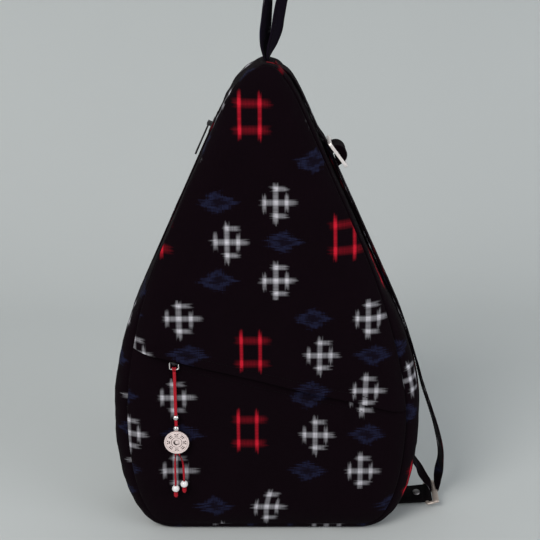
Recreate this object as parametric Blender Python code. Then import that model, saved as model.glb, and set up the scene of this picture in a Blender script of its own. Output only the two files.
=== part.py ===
"""Sling backpack: a teardrop fabric shell with a slanted front pocket, a charm on the
pocket's zip pull, a hanging loop, and a shoulder strap with its slider, ring and tab.

Metres, +Z up, the front of the bag faces -Y and the strap hangs on the +X side.
"""

import math

import bmesh
import bpy
from mathutils import Matrix, Vector

# Body
HEIGHT = 0.4095
HALF_WIDTH = 0.1323
WIDEST_Z = 0.110
BASE_HALF = 0.078
CORNER_REACH_X = 0.024
CORNER_REACH_Z = 0.105
FLANK_HALF_LOW = 0.1095
FLANK_LOW_Z = 0.213
FLANK_HALF_TOP = 0.034
FLANK_TOP_DROP = 0.0315
SIDE_REACH = 0.034
CREST_REACH_ALONG = 0.018
CREST_REACH_X = 0.0125
CREST_STEPS = 4
STRAP_SIDE_PULL = 0.0045
HALF_DEPTH = 0.038
HALF_DEPTH_TOP = 0.023
TAPER_START_Z = 0.235
FRONT_CROWN = 0.009
BACK_CROWN = 0.004
CROWN_RUN = 0.024
BULGE_TOP = 0.005
BULGE_SIDE = 0.0135
BULGE_BASE = 0.008
BULGE_HIGH_Z = 0.27
BULGE_LOW_Z = 0.13
FLAT_SIDE = 0.62
FLAT_BASE = 0.85
CLOTH = 0.0022
SILVER_METAL = (0.62, 0.60, 0.58)
BLACK_METAL = (0.010, 0.010, 0.011)
GAP = 0.0003

# Front pocket and its zip
ZIP_SLOPE = math.radians(14.3)
ZIP_MID_Z = 0.1515
ZIP_LEFT = 0.0845
ZIP_RIGHT = 0.093
POCKET_STEP = 0.0042
FLAP_SLIT = 0.0005
ZIP_TUCK = 0.006
TAPE_WIDTH = 0.0135
TAPE_THICK = 0.0007
TAPE_STEP_FROM = 0.0022
TAPE_STEP_RUN = 0.0035
TAPE_SEWN = 0.006
TAPE_FOLD = 0.0005
COIL_WIDTH = 0.0015
COIL_HEIGHT = 0.0015
POCKET_DEPTH = 0.0145
LINING_THICK = 0.0010
LINING_RISE = 0.022
LINING_EASE = 0.0006
SLIDER_X = -0.076
SLIDER_LENGTH = 0.011
SLIDER_WIDTH = 0.008
SLIDER_PLATE = 0.0016
STOP_LENGTH = 0.003
STOP_HEIGHT = 0.0010
FLANGE_LIFT = 0.0004
SLIDER_WALL = 0.0014
KNUCKLE_DROP = 0.0024
KNUCKLE_RADIUS = 0.0015
KNUCKLE_HOLE = 0.00095
KNUCKLE_HALF = 0.0013
PULL_WIRE = 0.0006
PULL_HALF = 0.0038
PULL_LENGTH = 0.0052
PULL_CORNER = 0.0012
PULL_AXIS_OUT = 0.0004

# Charm
HITCH_RADIUS = 0.0014
HITCH_CORD = 0.00045
CORD_RADIUS = 0.0013
SILVER_BEAD_RADIUS = 0.0026
SILVER_BEAD_DROPS = (0.0445, 0.0545)
MEDALLION_RADIUS = 0.0105
MEDALLION_THICK = 0.0020
MEDALLION_DROP = 0.0680
MEDALLION_RELIEF = 0.0004
TAIL_RADIUS = 0.0008
TAIL_BEAD_RADIUS = 0.0034
TAIL_BEAD_DROPS = (0.1130, 0.1085)
TAIL_SPREADS = (-0.0022, 0.0052)
KNOT_RADIUS = 0.0019
KNOT_LENGTH = 0.0050
CHARM_LEAN = 0.0020

# Main zip, on the flank opposite to the strap
MAIN_SLOT_LENGTH = 0.158
MAIN_SLOT_HALF = 0.0065
MAIN_TAPE_SPARE = 0.005
MAIN_SLIDER_LENGTH = 0.012
MAIN_SLIDER_PLATE = 0.0020
MAIN_SLIDER_HALF = 0.0042
MAIN_STOP_MARGIN = 0.001
EAR_THICK = 0.001
EAR_HALF = 0.0016
EAR_OVER_PIN = 0.0014
PIN_SPARE = 0.0005
MAIN_EYE = 0.0017
GRIP_RADIUS = 0.0042
GRIP_OPENING = 0.0022
GRIP_BACK = 0.002
MAIN_PULL_LENGTH = 0.026
MAIN_PULL_WIDTH = 0.0034
MAIN_PULL_THICK = 0.0014
MAIN_PIN_RISE = 0.0028
PIN_RADIUS = 0.0006

# Hanging loop
LOOP_WIDTH = 0.014
LOOP_THICK = 0.0016
LOOP_TWIST = math.radians(12)
LOOP_ROUTE = (
    (-0.0011, 0.0), (-0.0015, 0.006), (-0.0014, 0.013), (-0.0010, 0.022), (0.0, 0.032),
    (0.0010, 0.043), (0.0016, 0.053), (0.0028, 0.062), (0.0058, 0.0685), (0.0095, 0.0695),
    (0.0128, 0.0655), (0.0140, 0.058), (0.0132, 0.050), (0.0114, 0.043), (0.0096, 0.033),
    (0.0078, 0.0215), (0.0044, 0.011), (0.0022, 0.005), (0.0011, 0.0),
)
LOOP_FULL_TWIST_RISE = 0.022

# Strap, its slider, ring and tab
STRAP_WIDTH = 0.025
STRAP_THICK = 0.0015
STRAP_START = 0.0065
STRAP_LIFT_FROM = 0.026
STRAP_LIFT_TO = 0.038
STRAP_INNER_END = 0.040
STRAP_LEAVES_Z = 0.170
STRAP_RETURNS_Z = 0.062
STRAP_STATIONS = (0.060, 0.120)
STRAP_GATHER_Z = 0.075
STRAP_GATHER_SPAN = 0.055
STRAP_NECK_WIDTH = 0.009
STRAP_OUTER_ROUTE = (
    (-0.0016, 0.151), (0.0027, 0.136), (0.0077, 0.120), (0.0130, 0.105), (0.0186, 0.0886),
    (0.0232, 0.072), (0.0264, 0.056), (0.0280, 0.042), (0.0276, 0.030), (0.0271, 0.020),
)
STRAP_INNER_ROUTE = (
    (0.0192, 0.0165), (0.0160, 0.0210), (0.0126, 0.0265), (0.0097, 0.0325), (0.0062, 0.0395),
    (0.0020, 0.0470), (-0.0016, 0.0545),
)
TILT = math.radians(18)
TAB_BAR = Vector((HALF_WIDTH + 0.0162, 0.0080, 0.0080))
TAB_LENGTH = 0.0415
TAB_WIDTH = 0.019
TAB_LAYER = 0.0015
RIVET_REACH = 0.0090
RIVET_RADIUS = 0.0035
RIVET_RISE = 0.0011
RING_WIRE = 0.0012
RING_REACH = 0.0080
RING_RISE = math.radians(20)
RING_HALF_LENGTH = 0.0118
RING_CORNER = 0.0018
RING_PLAY = math.radians(6)
WRAP_OFFSET = 0.0062
BUCKLE_FROM_TOP = 0.0496
BUCKLE_LENGTH = 0.0246
BUCKLE_WIDTH = 0.0310
BUCKLE_THICK = 0.0024
BUCKLE_BAR = 0.0028
BUCKLE_CORNER = 0.003
BUCKLE_TILT = math.radians(12)
FOLD_HALF_SPAN = 0.0072
FOLD_RISE = 0.0066
FOLD_EASE = 0.0003

FRONT_Y = -(HALF_DEPTH + GAP + FRONT_CROWN + CLOTH)
FAN_CENTRE = Vector((0.0, 0.0, TAPER_START_Z))
FLANK_TOP_Z = HEIGHT - FLANK_TOP_DROP
ROUND_SIDES = 16


def clear_scene():
    for item in list(bpy.data.objects):
        bpy.data.objects.remove(item, do_unlink=True)


def material(name, color, roughness, metallic=0.0):
    made = bpy.data.materials.new(name)
    made.use_nodes = True
    shader = made.node_tree.nodes["Principled BSDF"]
    shader.inputs["Base Color"].default_value = (*color, 1.0)
    shader.inputs["Roughness"].default_value = roughness
    shader.inputs["Metallic"].default_value = metallic
    return made


def fabric(name, color=(0.006, 0.004, 0.007)):
    return material(name + "_cloth", color, 0.9)


def metal(name, color=SILVER_METAL):
    return material(name + "_metal", color, 0.3, 1.0)


def add_object(name, mesh, finish, parent=None):
    item = bpy.data.objects.new(name, mesh)
    bpy.context.scene.collection.objects.link(item)
    mesh.materials.append(finish)
    item.parent = parent
    return item


def solid(name, points, faces, finish, parent=None, smooth=40.0):
    """One closed body from points and faces, with its faces turned outwards."""
    mesh = bpy.data.meshes.new(name)
    build = bmesh.new()
    made = [build.verts.new(p) for p in points]
    for face in faces:
        build.faces.new([made[i] for i in face])
    bmesh.ops.recalc_face_normals(build, faces=build.faces)
    build.to_mesh(mesh)
    build.free()
    mesh.shade_smooth()
    mesh.set_sharp_from_angle(angle=math.radians(smooth))
    return add_object(name, mesh, finish, parent)


def loft(name, rings, finish, parent=None, closed=False):
    """A solid through rings of equal point counts, capped at both ends unless it is closed."""
    count = len(rings[0])
    points = [p for ring in rings for p in ring]
    faces = []
    spans = len(rings) if closed else len(rings) - 1
    for i in range(spans):
        a = i * count
        b = (i + 1) % len(rings) * count
        for j in range(count):
            k = (j + 1) % count
            faces.append((a + j, a + k, b + k, b + j))
    if not closed:
        faces.append(tuple(range(count)))
        last = (len(rings) - 1) * count
        faces.append(tuple(last + j for j in range(count)))
    return solid(name, points, faces, finish, parent)


def prism(name, profile, low, high, place, finish, parent=None):
    """A flat profile (a, b) drawn out along a third direction c; place turns (a, b, c) into a point."""
    rings = [[place(a, b, c) for a, b in profile] for c in (low, high)]
    return loft(name, rings, finish, parent)


def helper(item):
    item.hide_render = True
    item.display_type = "WIRE"
    return item


def boolean(item, other, operation):
    step = item.modifiers.new(operation.lower() + "_" + other.name, "BOOLEAN")
    step.operation = operation
    step.solver = "EXACT"
    step.object = helper(other)
    return item


def circle(radius, sides=ROUND_SIDES, centre=(0.0, 0.0), start=0.0):
    angles = [start + 2 * math.pi * i / sides for i in range(sides)]
    return [(centre[0] + radius * math.cos(t), centre[1] + radius * math.sin(t)) for t in angles]


def arc(centre, radius, start, end, steps):
    angles = [start + (end - start) * i / steps for i in range(steps + 1)]
    return [(centre[0] + radius * math.cos(t), centre[1] + radius * math.sin(t)) for t in angles]


def bezier(a, b, c, d, steps):
    """Points of a cubic curve after its first one."""
    points = []
    for i in range(1, steps + 1):
        t = i / steps
        s = 1 - t
        points.append(a * s ** 3 + b * 3 * s * s * t + c * 3 * s * t * t + d * t ** 3)
    return points


def smooth_step(t):
    t = min(1.0, max(0.0, t))
    return t * t * (3 - 2 * t)


def smooth_route(points, steps):
    """A smooth curve through the route's own points."""
    route = []
    for i in range(len(points) - 1):
        p0 = points[max(0, i - 1)]
        p1, p2 = points[i], points[i + 1]
        p3 = points[min(len(points) - 1, i + 2)]
        for k in range(steps):
            t = k / steps
            a = 2 * p1
            b = (p2 - p0) * t
            c = (2 * p0 - 5 * p1 + 4 * p2 - p3) * t * t
            d = (3 * p1 - p0 - 3 * p2 + p3) * t ** 3
            route.append((a + b + c + d) / 2)
    route.append(points[-1])
    return route


def flank_points(pull):
    low = Vector((FLANK_HALF_LOW - pull, FLANK_LOW_Z))
    top = Vector((FLANK_HALF_TOP - pull, FLANK_TOP_Z))
    return low, top


def half_outline(pull):
    """Half of the front view, from the middle of the base up to the apex."""
    low, top = flank_points(pull)
    up = (top - low).normalized()
    base = [Vector((BASE_HALF * i / 3, 0.0)) for i in range(4)]
    widest = Vector((HALF_WIDTH, WIDEST_Z))
    corner = bezier(base[-1], base[-1] + Vector((CORNER_REACH_X, 0.0)),
                    widest - Vector((0.0, CORNER_REACH_Z)), widest, 7)
    side = bezier(widest, widest + Vector((0.0, SIDE_REACH)), low - up * SIDE_REACH, low, 4)
    flank = [low.lerp(top, i / 5) for i in range(1, 6)]
    apex = Vector((0.0, HEIGHT))
    crest = bezier(top, top + up * CREST_REACH_ALONG, apex + Vector((CREST_REACH_X, 0.0)), apex,
                   CREST_STEPS)
    return base + corner + side + flank + crest


def outline():
    """The whole front view, base middle, +X side, apex, -X side, with its outward normals."""
    right = half_outline(STRAP_SIDE_PULL)
    left = half_outline(0.0)
    points = right + [Vector((-p.x, p.y)) for p in reversed(left[1:-1])]
    normals = []
    for i, point in enumerate(points):
        along = points[(i + 1) % len(points)] - points[i - 1]
        normals.append(Vector((along.y, -along.x)).normalized())
    return points, normals


OUTLINE, NORMALS = outline()


def half_depth(z):
    t = max(0.0, (z - TAPER_START_Z) / (HEIGHT - TAPER_START_Z))
    return HALF_DEPTH + (HALF_DEPTH_TOP - HALF_DEPTH) * t


def down_share(normal):
    return max(0.0, -normal.y) ** 2


def bulge(point, normal):
    rise = smooth_step((BULGE_HIGH_Z - point.y) / (BULGE_HIGH_Z - BULGE_LOW_Z))
    side = BULGE_TOP + (BULGE_SIDE - BULGE_TOP) * rise
    down = down_share(normal)
    return side * (1 - down) + BULGE_BASE * down


def seam_outline(inset=0.0):
    return [p - n * (bulge(p, n) + inset) for p, n in zip(OUTLINE, NORMALS)]


def gusset_shares(normal):
    """Places across the gusset, -1 at the front seam and 1 at the back one, and how far each is out."""
    flat = FLAT_SIDE + (FLAT_BASE - FLAT_SIDE) * down_share(normal)
    shares = []
    for t in (0.0, 0.25, 0.58, 1.0):
        place = 1 - (1 - flat) * (1 - math.cos(t * math.pi / 2))
        shares.append((place, math.sin(t * math.pi / 2)))
    front = [(-place, out) for place, out in shares]
    back = [(place, out) for place, out in reversed(shares)]
    return front + back


def gusset_ring(index, offset):
    point, normal = OUTLINE[index], NORMALS[index]
    swell = bulge(point, normal)
    ring = []
    for place, out in gusset_shares(normal):
        at = point - normal * (swell * (1 - out)) + normal * offset
        ring.append(Vector((at.x, place * half_depth(point.y), at.y)))
    return ring


def gusset():
    """One band of cloth round the sides, the top and the bottom, cut open for the main zip."""
    rings = []
    for i in range(len(OUTLINE)):
        rings.append(gusset_ring(i, 0.0) + gusset_ring(i, -CLOTH)[::-1])
    band = loft("gusset", rings, fabric("gusset"), closed=True)
    frame = left_flank()
    slot = box("main_zip_slot", (-MAIN_SLOT_LENGTH / 2, -MAIN_SLOT_HALF, -3 * CLOTH),
               (MAIN_SLOT_LENGTH / 2, MAIN_SLOT_HALF, 3 * CLOTH), fabric("slot"), frame)
    return boolean(band, slot, "DIFFERENCE")


def box(name, low, high, finish, frame=None, parent=None):
    """A box between two corners, given in frame's directions."""
    x0, y0, z0 = low
    x1, y1, z1 = high
    corners = [(x, y, z) for z in (z0, z1) for x, y in ((x0, y0), (x1, y0), (x1, y1), (x0, y1))]
    if frame is not None:
        corners = [frame @ Vector(c) for c in corners]
    faces = [(0, 1, 2, 3), (4, 5, 6, 7), (0, 1, 5, 4), (1, 2, 6, 5), (2, 3, 7, 6), (3, 0, 4, 7)]
    return solid(name, corners, faces, finish, parent)


def axes(origin, along, across, out):
    turn = Matrix((along, across, out)).transposed().to_4x4()
    turn.translation = Vector(origin)
    return turn


def left_flank():
    """Origin at the middle of the flank's outer face, along it downwards, across to the front, out."""
    low, top = flank_points(0.0)
    along = Vector((-(low.x - top.x), 0.0, low.y - top.y)).normalized()
    out = Vector((0.0, -1.0, 0.0)).cross(-along)
    middle = (low + top) / 2
    return axes((-middle.x, 0.0, middle.y), along, (0.0, -1.0, 0.0), out)


def right_flank():
    """The same on the strap's side, from the flank's top, across to the back."""
    low, top = flank_points(STRAP_SIDE_PULL)
    along = Vector((low.x - top.x, 0.0, low.y - top.y)).normalized()
    out = along.cross(Vector((0.0, 1.0, 0.0)))
    return axes((top.x, 0.0, top.y), along, (0.0, 1.0, 0.0), out)


def crown_at(run, crown):
    return crown * math.sin(min(1.0, run / CROWN_RUN) * math.pi / 2) ** 0.8


def panel_rings(crown, side, layer):
    """Rings of points from the seam to the fan's centre, on the face that lies layer outside the seam."""
    centre = Vector((FAN_CENTRE.x, FAN_CENTRE.z))
    rings = []
    for run in (0.0, 0.12 * CROWN_RUN, 0.34 * CROWN_RUN, 0.65 * CROWN_RUN, CROWN_RUN):
        ring = []
        for point in seam_outline():
            at = point + (centre - point).normalized() * run
            depth = half_depth(at.y) + GAP + crown_at(run, crown) + layer
            ring.append(Vector((at.x, side * depth, at.y)))
        rings.append(ring)
    return rings, Vector((centre.x, side * (half_depth(centre.y) + GAP + crown + layer), centre.y))


def panel_shell(name, crown, side, finish):
    """A thin crowned panel that closes the gusset's front or back."""
    inner, inner_centre = panel_rings(crown, side, 0.0)
    outer, outer_centre = panel_rings(crown, side, CLOTH)
    count = len(OUTLINE)
    rings = list(reversed(inner)) + outer
    points = [p for ring in rings for p in ring] + [inner_centre, outer_centre]
    faces = []
    for i in range(len(rings) - 1):
        for j in range(count):
            k = (j + 1) % count
            faces.append((i * count + j, i * count + k, (i + 1) * count + k, (i + 1) * count + j))
    last = (len(rings) - 1) * count
    for j in range(count):
        k = (j + 1) % count
        faces.append((j, k, len(points) - 2))
        faces.append((last + j, last + k, len(points) - 1))
    return solid(name, points, faces, finish)


def inner_space(name, inset):
    """The room inside the shell, used only to trim what is sewn into it."""
    rings = []
    for i in range(len(OUTLINE)):
        rings.append(gusset_ring(i, -CLOTH - inset))
    count = len(rings[0])
    points = [p for ring in rings for p in ring]
    faces = []
    for i in range(len(rings)):
        a = i * count
        b = (i + 1) % len(rings) * count
        for j in range(count - 1):
            faces.append((a + j, a + j + 1, b + j + 1, b + j))
    faces.append(tuple(i * count for i in range(len(rings))))
    faces.append(tuple(i * count + count - 1 for i in range(len(rings))))
    return solid(name, points, faces, fabric(name))


def zip_frame():
    """Origin on the front panel's outer face over the middle, along the zip, up across it, out."""
    along = Vector((math.cos(ZIP_SLOPE), 0.0, -math.sin(ZIP_SLOPE)))
    across = Vector((math.sin(ZIP_SLOPE), 0.0, math.cos(ZIP_SLOPE)))
    return axes((0.0, FRONT_Y, ZIP_MID_Z), along, across, (0.0, -1.0, 0.0))


def front_panels():
    """The upper panel with its flap over the zip, and the pocket's own panel, set back under it."""
    frame = zip_frame()
    reach = HEIGHT
    upper = panel_shell("front_upper_panel", FRONT_CROWN, -1, fabric("front_upper_panel"))
    below = box("below_flap", (-reach, -reach, -reach), (reach, 0.0, reach), fabric("below"), frame)
    boolean(upper, below, "DIFFERENCE")
    pocket = panel_shell("pocket_front_panel", FRONT_CROWN - POCKET_STEP, -1,
                         fabric("pocket_front_panel"))
    above = box("above_pocket", (-reach, -FLAP_SLIT, -reach), (reach, reach, reach),
                fabric("above"), frame)
    boolean(pocket, above, "DIFFERENCE")


def pocket_lining():
    """The wall between the pocket and the main compartment, sewn to the upper panel above the zip."""
    frame = zip_frame()
    wall = POCKET_STEP + CLOTH + POCKET_DEPTH
    face = CLOTH + GAP
    rise = LINING_RISE
    turn = rise + wall - face
    reach = HEIGHT
    profile = [(-reach, -wall), (rise, -wall), (turn, -face), (turn, -face - LINING_THICK * 1.5),
               (rise, -wall - LINING_THICK), (-reach, -wall - LINING_THICK)]
    lining = prism("pocket_lining", profile, -reach, reach,
                   lambda v, w, u: frame @ Vector((u, v, w)), fabric("pocket_lining", (0.02, 0.015, 0.02)))
    return boolean(lining, inner_space("lining_room", LINING_EASE), "INTERSECT")


def pocket_zip():
    """Two tapes with their coils: the lower one lies behind the pocket's edge, the upper one
    steps out to the back of the upper panel."""
    frame = zip_frame()
    tape = -(POCKET_STEP + CLOTH + GAP)
    low_end, high_end = -ZIP_LEFT / math.cos(ZIP_SLOPE), ZIP_RIGHT / math.cos(ZIP_SLOPE)

    def place(v, w, u):
        return frame @ Vector((u, v, w))

    split = ZIP_TUCK
    half_gap = GAP / 2
    coil_low = split - half_gap - COIL_WIDTH
    coil_high = split + half_gap + COIL_WIDTH
    lower = [(split - half_gap - TAPE_WIDTH, tape), (coil_low, tape),
             (coil_low, tape + COIL_HEIGHT), (split - half_gap, tape + COIL_HEIGHT),
             (split - half_gap, tape - TAPE_THICK), (split - half_gap - TAPE_WIDTH, tape - TAPE_THICK)]
    step_from = coil_high + TAPE_STEP_FROM
    step_to = step_from + TAPE_STEP_RUN
    sewn = -(CLOTH + GAP)
    upper = [(split + half_gap, tape + COIL_HEIGHT), (coil_high, tape + COIL_HEIGHT),
             (coil_high, tape), (step_from, tape), (step_to, sewn), (step_to + TAPE_SEWN, sewn),
             (step_to + TAPE_SEWN, sewn - TAPE_THICK), (step_to + TAPE_FOLD, sewn - TAPE_THICK),
             (step_from + TAPE_FOLD, tape - TAPE_THICK), (split + half_gap, tape - TAPE_THICK)]
    finish = fabric("zip_tape", (0.01, 0.01, 0.012))
    prism("pocket_zip_lower_tape", lower, low_end, high_end, place, finish)
    prism("pocket_zip_upper_tape", upper, low_end, high_end, place, finish)
    top = tape + COIL_HEIGHT
    for name, at in (("pocket_zip_left_stop", low_end), ("pocket_zip_right_stop", high_end - STOP_LENGTH)):
        box(name, (at, coil_low, top + GAP), (at + STOP_LENGTH, coil_high, top + GAP + STOP_HEIGHT),
            metal(name), frame)


def slider_place():
    """The pocket slider's frame on the zip."""
    return zip_frame() @ Matrix.Translation((SLIDER_X / math.cos(ZIP_SLOPE), 0.0, 0.0))


def empty(name, place):
    item = bpy.data.objects.new(name, None)
    item.matrix_world = place
    bpy.context.scene.collection.objects.link(item)
    return item


def channel(half_width, under, top, flange, wall):
    """A slider's section: a plate with a flange down each side of the coil."""
    inner = half_width - wall
    return [(-half_width, flange), (-inner, flange), (-inner, under), (inner, under),
            (inner, flange), (half_width, flange), (half_width, top), (-half_width, top)]


def pocket_slider():
    place = slider_place()
    body = empty("pocket_slider_body", place)
    coil_top = -(POCKET_STEP + CLOTH + GAP) + COIL_HEIGHT
    under = coil_top + GAP
    top = under + SLIDER_PLATE
    flange = coil_top - COIL_HEIGHT + FLANGE_LIFT
    section = [(v + ZIP_TUCK, w) for v, w in
               channel(SLIDER_WIDTH / 2, under, top, flange, SLIDER_WALL)]
    half = SLIDER_LENGTH / 2
    slider = prism("pocket_zip_slider", section, -half, half,
                   lambda v, w, u: Vector((u, v, w)), metal("pocket_zip_slider", BLACK_METAL), body)
    tongue = box("slider_tongue", (-KNUCKLE_HALF, -KNUCKLE_DROP + KNUCKLE_HOLE, top - GAP),
                 (KNUCKLE_HALF, ZIP_TUCK, -CLOTH - GAP), metal("tongue"), None, body)
    boolean(slider, tongue, "UNION")
    axis = pull_axis()
    knuckle = prism("slider_knuckle", circle(KNUCKLE_RADIUS, ROUND_SIDES, axis), -KNUCKLE_HALF,
                    KNUCKLE_HALF, lambda v, w, u: Vector((u, v, w)), metal("knuckle"), body)
    boolean(slider, knuckle, "UNION")
    hole = prism("slider_hole", circle(KNUCKLE_HOLE, ROUND_SIDES, axis), -0.004, 0.004,
                 lambda v, w, u: Vector((u, v, w)), metal("hole"), body)
    boolean(slider, hole, "DIFFERENCE")
    return body


def pull_axis():
    """Where the wire pull hinges, in the slider's (across, out) directions."""
    return (-KNUCKLE_DROP, -CLOTH + PULL_AXIS_OUT)


def pull_corners():
    """The wire's four corners about its hinge, with sides that hang plumb from a sloping top."""
    down = Vector((math.sin(ZIP_SLOPE), -math.cos(ZIP_SLOPE), 0.0))
    level = Vector((math.cos(ZIP_SLOPE), math.sin(ZIP_SLOPE), 0.0))
    middle = down * PULL_LENGTH
    half = PULL_HALF * math.cos(ZIP_SLOPE)
    return (Vector((-PULL_HALF, 0.0, 0.0)), middle - level * half,
            middle + level * half, Vector((PULL_HALF, 0.0, 0.0)))


def rounded(corners, radius, steps):
    """A closed loop with its corners rounded."""
    route = []
    count = len(corners)
    for i, corner in enumerate(corners):
        before = (corners[i - 1] - corner).normalized()
        after = (corners[(i + 1) % count] - corner).normalized()
        start, end = corner + before * radius, corner + after * radius
        for k in range(steps + 1):
            t = k / steps
            route.append(start * (1 - t) ** 2 + corner * 2 * t * (1 - t) + end * t * t)
    return route


def wire(name, route, radius, finish, parent=None, closed=False, sides=2):
    """A round wire or cord along a route."""
    curve = bpy.data.curves.new(name, "CURVE")
    curve.dimensions = "3D"
    curve.bevel_depth = radius
    curve.bevel_resolution = sides
    curve.use_fill_caps = not closed
    line = curve.splines.new("POLY")
    line.points.add(len(route) - 1)
    for point, at in zip(line.points, route):
        point.co = (*at, 1.0)
    line.use_cyclic_u = closed
    line.use_smooth = True
    item = bpy.data.objects.new(name, curve)
    bpy.context.scene.collection.objects.link(item)
    curve.materials.append(finish)
    item.parent = parent
    return item


def pocket_pull(slider_body):
    across, out = pull_axis()
    body = empty("pocket_pull_body", slider_body.matrix_world @ Matrix.Translation((0.0, across, out)))
    wire("pocket_zip_pull", rounded(pull_corners(), PULL_CORNER, 3), PULL_WIRE,
         metal("pocket_zip_pull"), body, closed=True)
    return body


def charm_top(pull_body):
    """The middle of the pull's lower bar, where the charm swings."""
    down = Vector((math.sin(ZIP_SLOPE), -math.cos(ZIP_SLOPE), 0.0))
    return pull_body.matrix_world @ (down * PULL_LENGTH)


def ball(name, at, radius, finish, parent, squeeze=1.0):
    profile = [(radius * math.sin(t), radius * squeeze * math.cos(t))
               for t in [math.pi * i / 8 for i in range(1, 8)]]
    points = [Vector((r * math.cos(2 * math.pi * k / ROUND_SIDES),
                      r * math.sin(2 * math.pi * k / ROUND_SIDES), h)) + at
              for r, h in profile for k in range(ROUND_SIDES)]
    points += [at + Vector((0, 0, radius * squeeze)), at - Vector((0, 0, radius * squeeze))]
    faces = []
    for i in range(len(profile) - 1):
        for k in range(ROUND_SIDES):
            j = (k + 1) % ROUND_SIDES
            a, b = i * ROUND_SIDES, (i + 1) * ROUND_SIDES
            faces.append((a + k, a + j, b + j, b + k))
    last = (len(profile) - 1) * ROUND_SIDES
    for k in range(ROUND_SIDES):
        j = (k + 1) % ROUND_SIDES
        faces.append((k, j, len(points) - 2))
        faces.append((last + k, last + j, len(points) - 1))
    return solid(name, points, faces, finish, parent)


def charm_point(drop, spread=0.0):
    """A place on the charm below its top: it leans out a little on the pocket's belly."""
    return Vector((spread, -CHARM_LEAN * min(1.0, drop / TAIL_BEAD_DROPS[0]), -drop))


def turned_plate(name, rings, at, finish, parent, sides=32):
    """A disc turned about Y from (radius, y) rings, closed at both ends."""
    profile = [[at + Vector((r * math.cos(2 * math.pi * k / sides), y,
                             r * math.sin(2 * math.pi * k / sides))) for k in range(sides)]
               for r, y in rings]
    return loft(name, profile, finish, parent)


def medallion(parent):
    r, half = MEDALLION_RADIUS, MEDALLION_THICK / 2
    field = half - MEDALLION_RELIEF
    rings = [(0.35 * r, half), (0.42 * r, field), (0.82 * r, field), (0.86 * r, half),
             (0.97 * r, half), (r, 0.6 * half), (r, -0.6 * half), (0.97 * r, -half), (0.3 * r, -half)]
    turned_plate("medallion", rings, charm_point(MEDALLION_DROP), metal("medallion", (0.55, 0.42, 0.39)),
                 parent)


def charm(pull_body):
    red = fabric("charm_cord", (0.33, 0.02, 0.03))
    silver = metal("silver_bead")
    body = empty("charm_body", Matrix.Translation(charm_top(pull_body)))
    ring = [Vector((0.0, y, z)) for y, z in circle(HITCH_RADIUS, 12)]
    wire("charm_hitch", ring, HITCH_CORD, red, body, closed=True)
    hitch_low = HITCH_RADIUS + HITCH_CORD + GAP
    first, second = SILVER_BEAD_DROPS
    cord_route = [charm_point(hitch_low + (first - SILVER_BEAD_RADIUS - GAP - hitch_low) * i / 14)
                  for i in range(15)]
    wire("charm_cord", cord_route, CORD_RADIUS, red, body)
    ball("upper_silver_bead", charm_point(first), SILVER_BEAD_RADIUS, silver, body)
    wire("charm_cord_link", [charm_point(first + SILVER_BEAD_RADIUS + GAP),
                             charm_point(second - SILVER_BEAD_RADIUS - GAP)], CORD_RADIUS, red, body)
    ball("lower_silver_bead", charm_point(second), SILVER_BEAD_RADIUS, silver, body)
    medallion(body)
    for side, drop, spread in zip(("left", "right"), TAIL_BEAD_DROPS, TAIL_SPREADS):
        tail(side, drop, spread, red, body)


def tail(side, drop, spread, red, body):
    """A red tail cord that ends in a white bead and a knot."""
    top = MEDALLION_DROP + MEDALLION_RADIUS + GAP
    start = charm_point(top, math.copysign(TAIL_RADIUS + GAP, spread))
    end = charm_point(drop - TAIL_BEAD_RADIUS - GAP, spread)
    bend = Vector((start.x + (end.x - start.x) * 0.62, (start.y + end.y) / 2, (start.z + end.z) / 2))
    wire(side + "_tail_cord", smooth_route([start, bend, end], 8), TAIL_RADIUS, red, body)
    ball(side + "_tail_bead", charm_point(drop, spread), TAIL_BEAD_RADIUS,
         material(side + "_bead", (0.92, 0.90, 0.88), 0.25), body)
    knot_at = charm_point(drop + TAIL_BEAD_RADIUS + GAP + KNOT_LENGTH / 2, spread)
    ball(side + "_knot", knot_at, KNOT_RADIUS, red, body, KNOT_LENGTH / 2 / KNOT_RADIUS)


def main_zip():
    """The main compartment's zip: two tapes behind the slot in the gusset, with end stops."""
    frame = left_flank()
    tape = -(CLOTH + GAP)
    half = MAIN_SLOT_LENGTH / 2 + MAIN_TAPE_SPARE
    half_gap = GAP / 2
    finish = fabric("main_tape", (0.01, 0.01, 0.012))
    coil_half = MAIN_SLOT_LENGTH / 2 - GAP

    def place(v, w, u):
        return frame @ Vector((u, v, w))

    for name, side in (("main_zip_front_tape", 1), ("main_zip_back_tape", -1)):
        band = [(half_gap, tape), (half_gap + TAPE_WIDTH, tape),
                (half_gap + TAPE_WIDTH, tape - TAPE_THICK), (half_gap, tape - TAPE_THICK)]
        coil = [(half_gap, tape + COIL_HEIGHT), (half_gap + COIL_WIDTH, tape + COIL_HEIGHT),
                (half_gap + COIL_WIDTH, tape - TAPE_THICK / 2), (half_gap, tape - TAPE_THICK / 2)]
        tape_solid = prism(name, [(side * v, w) for v, w in band], -half, half, place, finish)
        coil_solid = prism(name + "_coil", [(side * v, w) for v, w in coil], -coil_half, coil_half,
                           place, finish)
        boolean(tape_solid, coil_solid, "UNION")
    reach = MAIN_SLOT_LENGTH / 2 - STOP_LENGTH - MAIN_STOP_MARGIN
    low = tape + COIL_HEIGHT + GAP
    wide = half_gap + COIL_WIDTH
    for name, at in (("main_zip_top_stop", -reach - STOP_LENGTH), ("main_zip_low_stop", reach)):
        finish = metal(name, BLACK_METAL)
        box(name, (at, -wide, low), (at + STOP_LENGTH, wide, low + STOP_HEIGHT), finish, frame)


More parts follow.
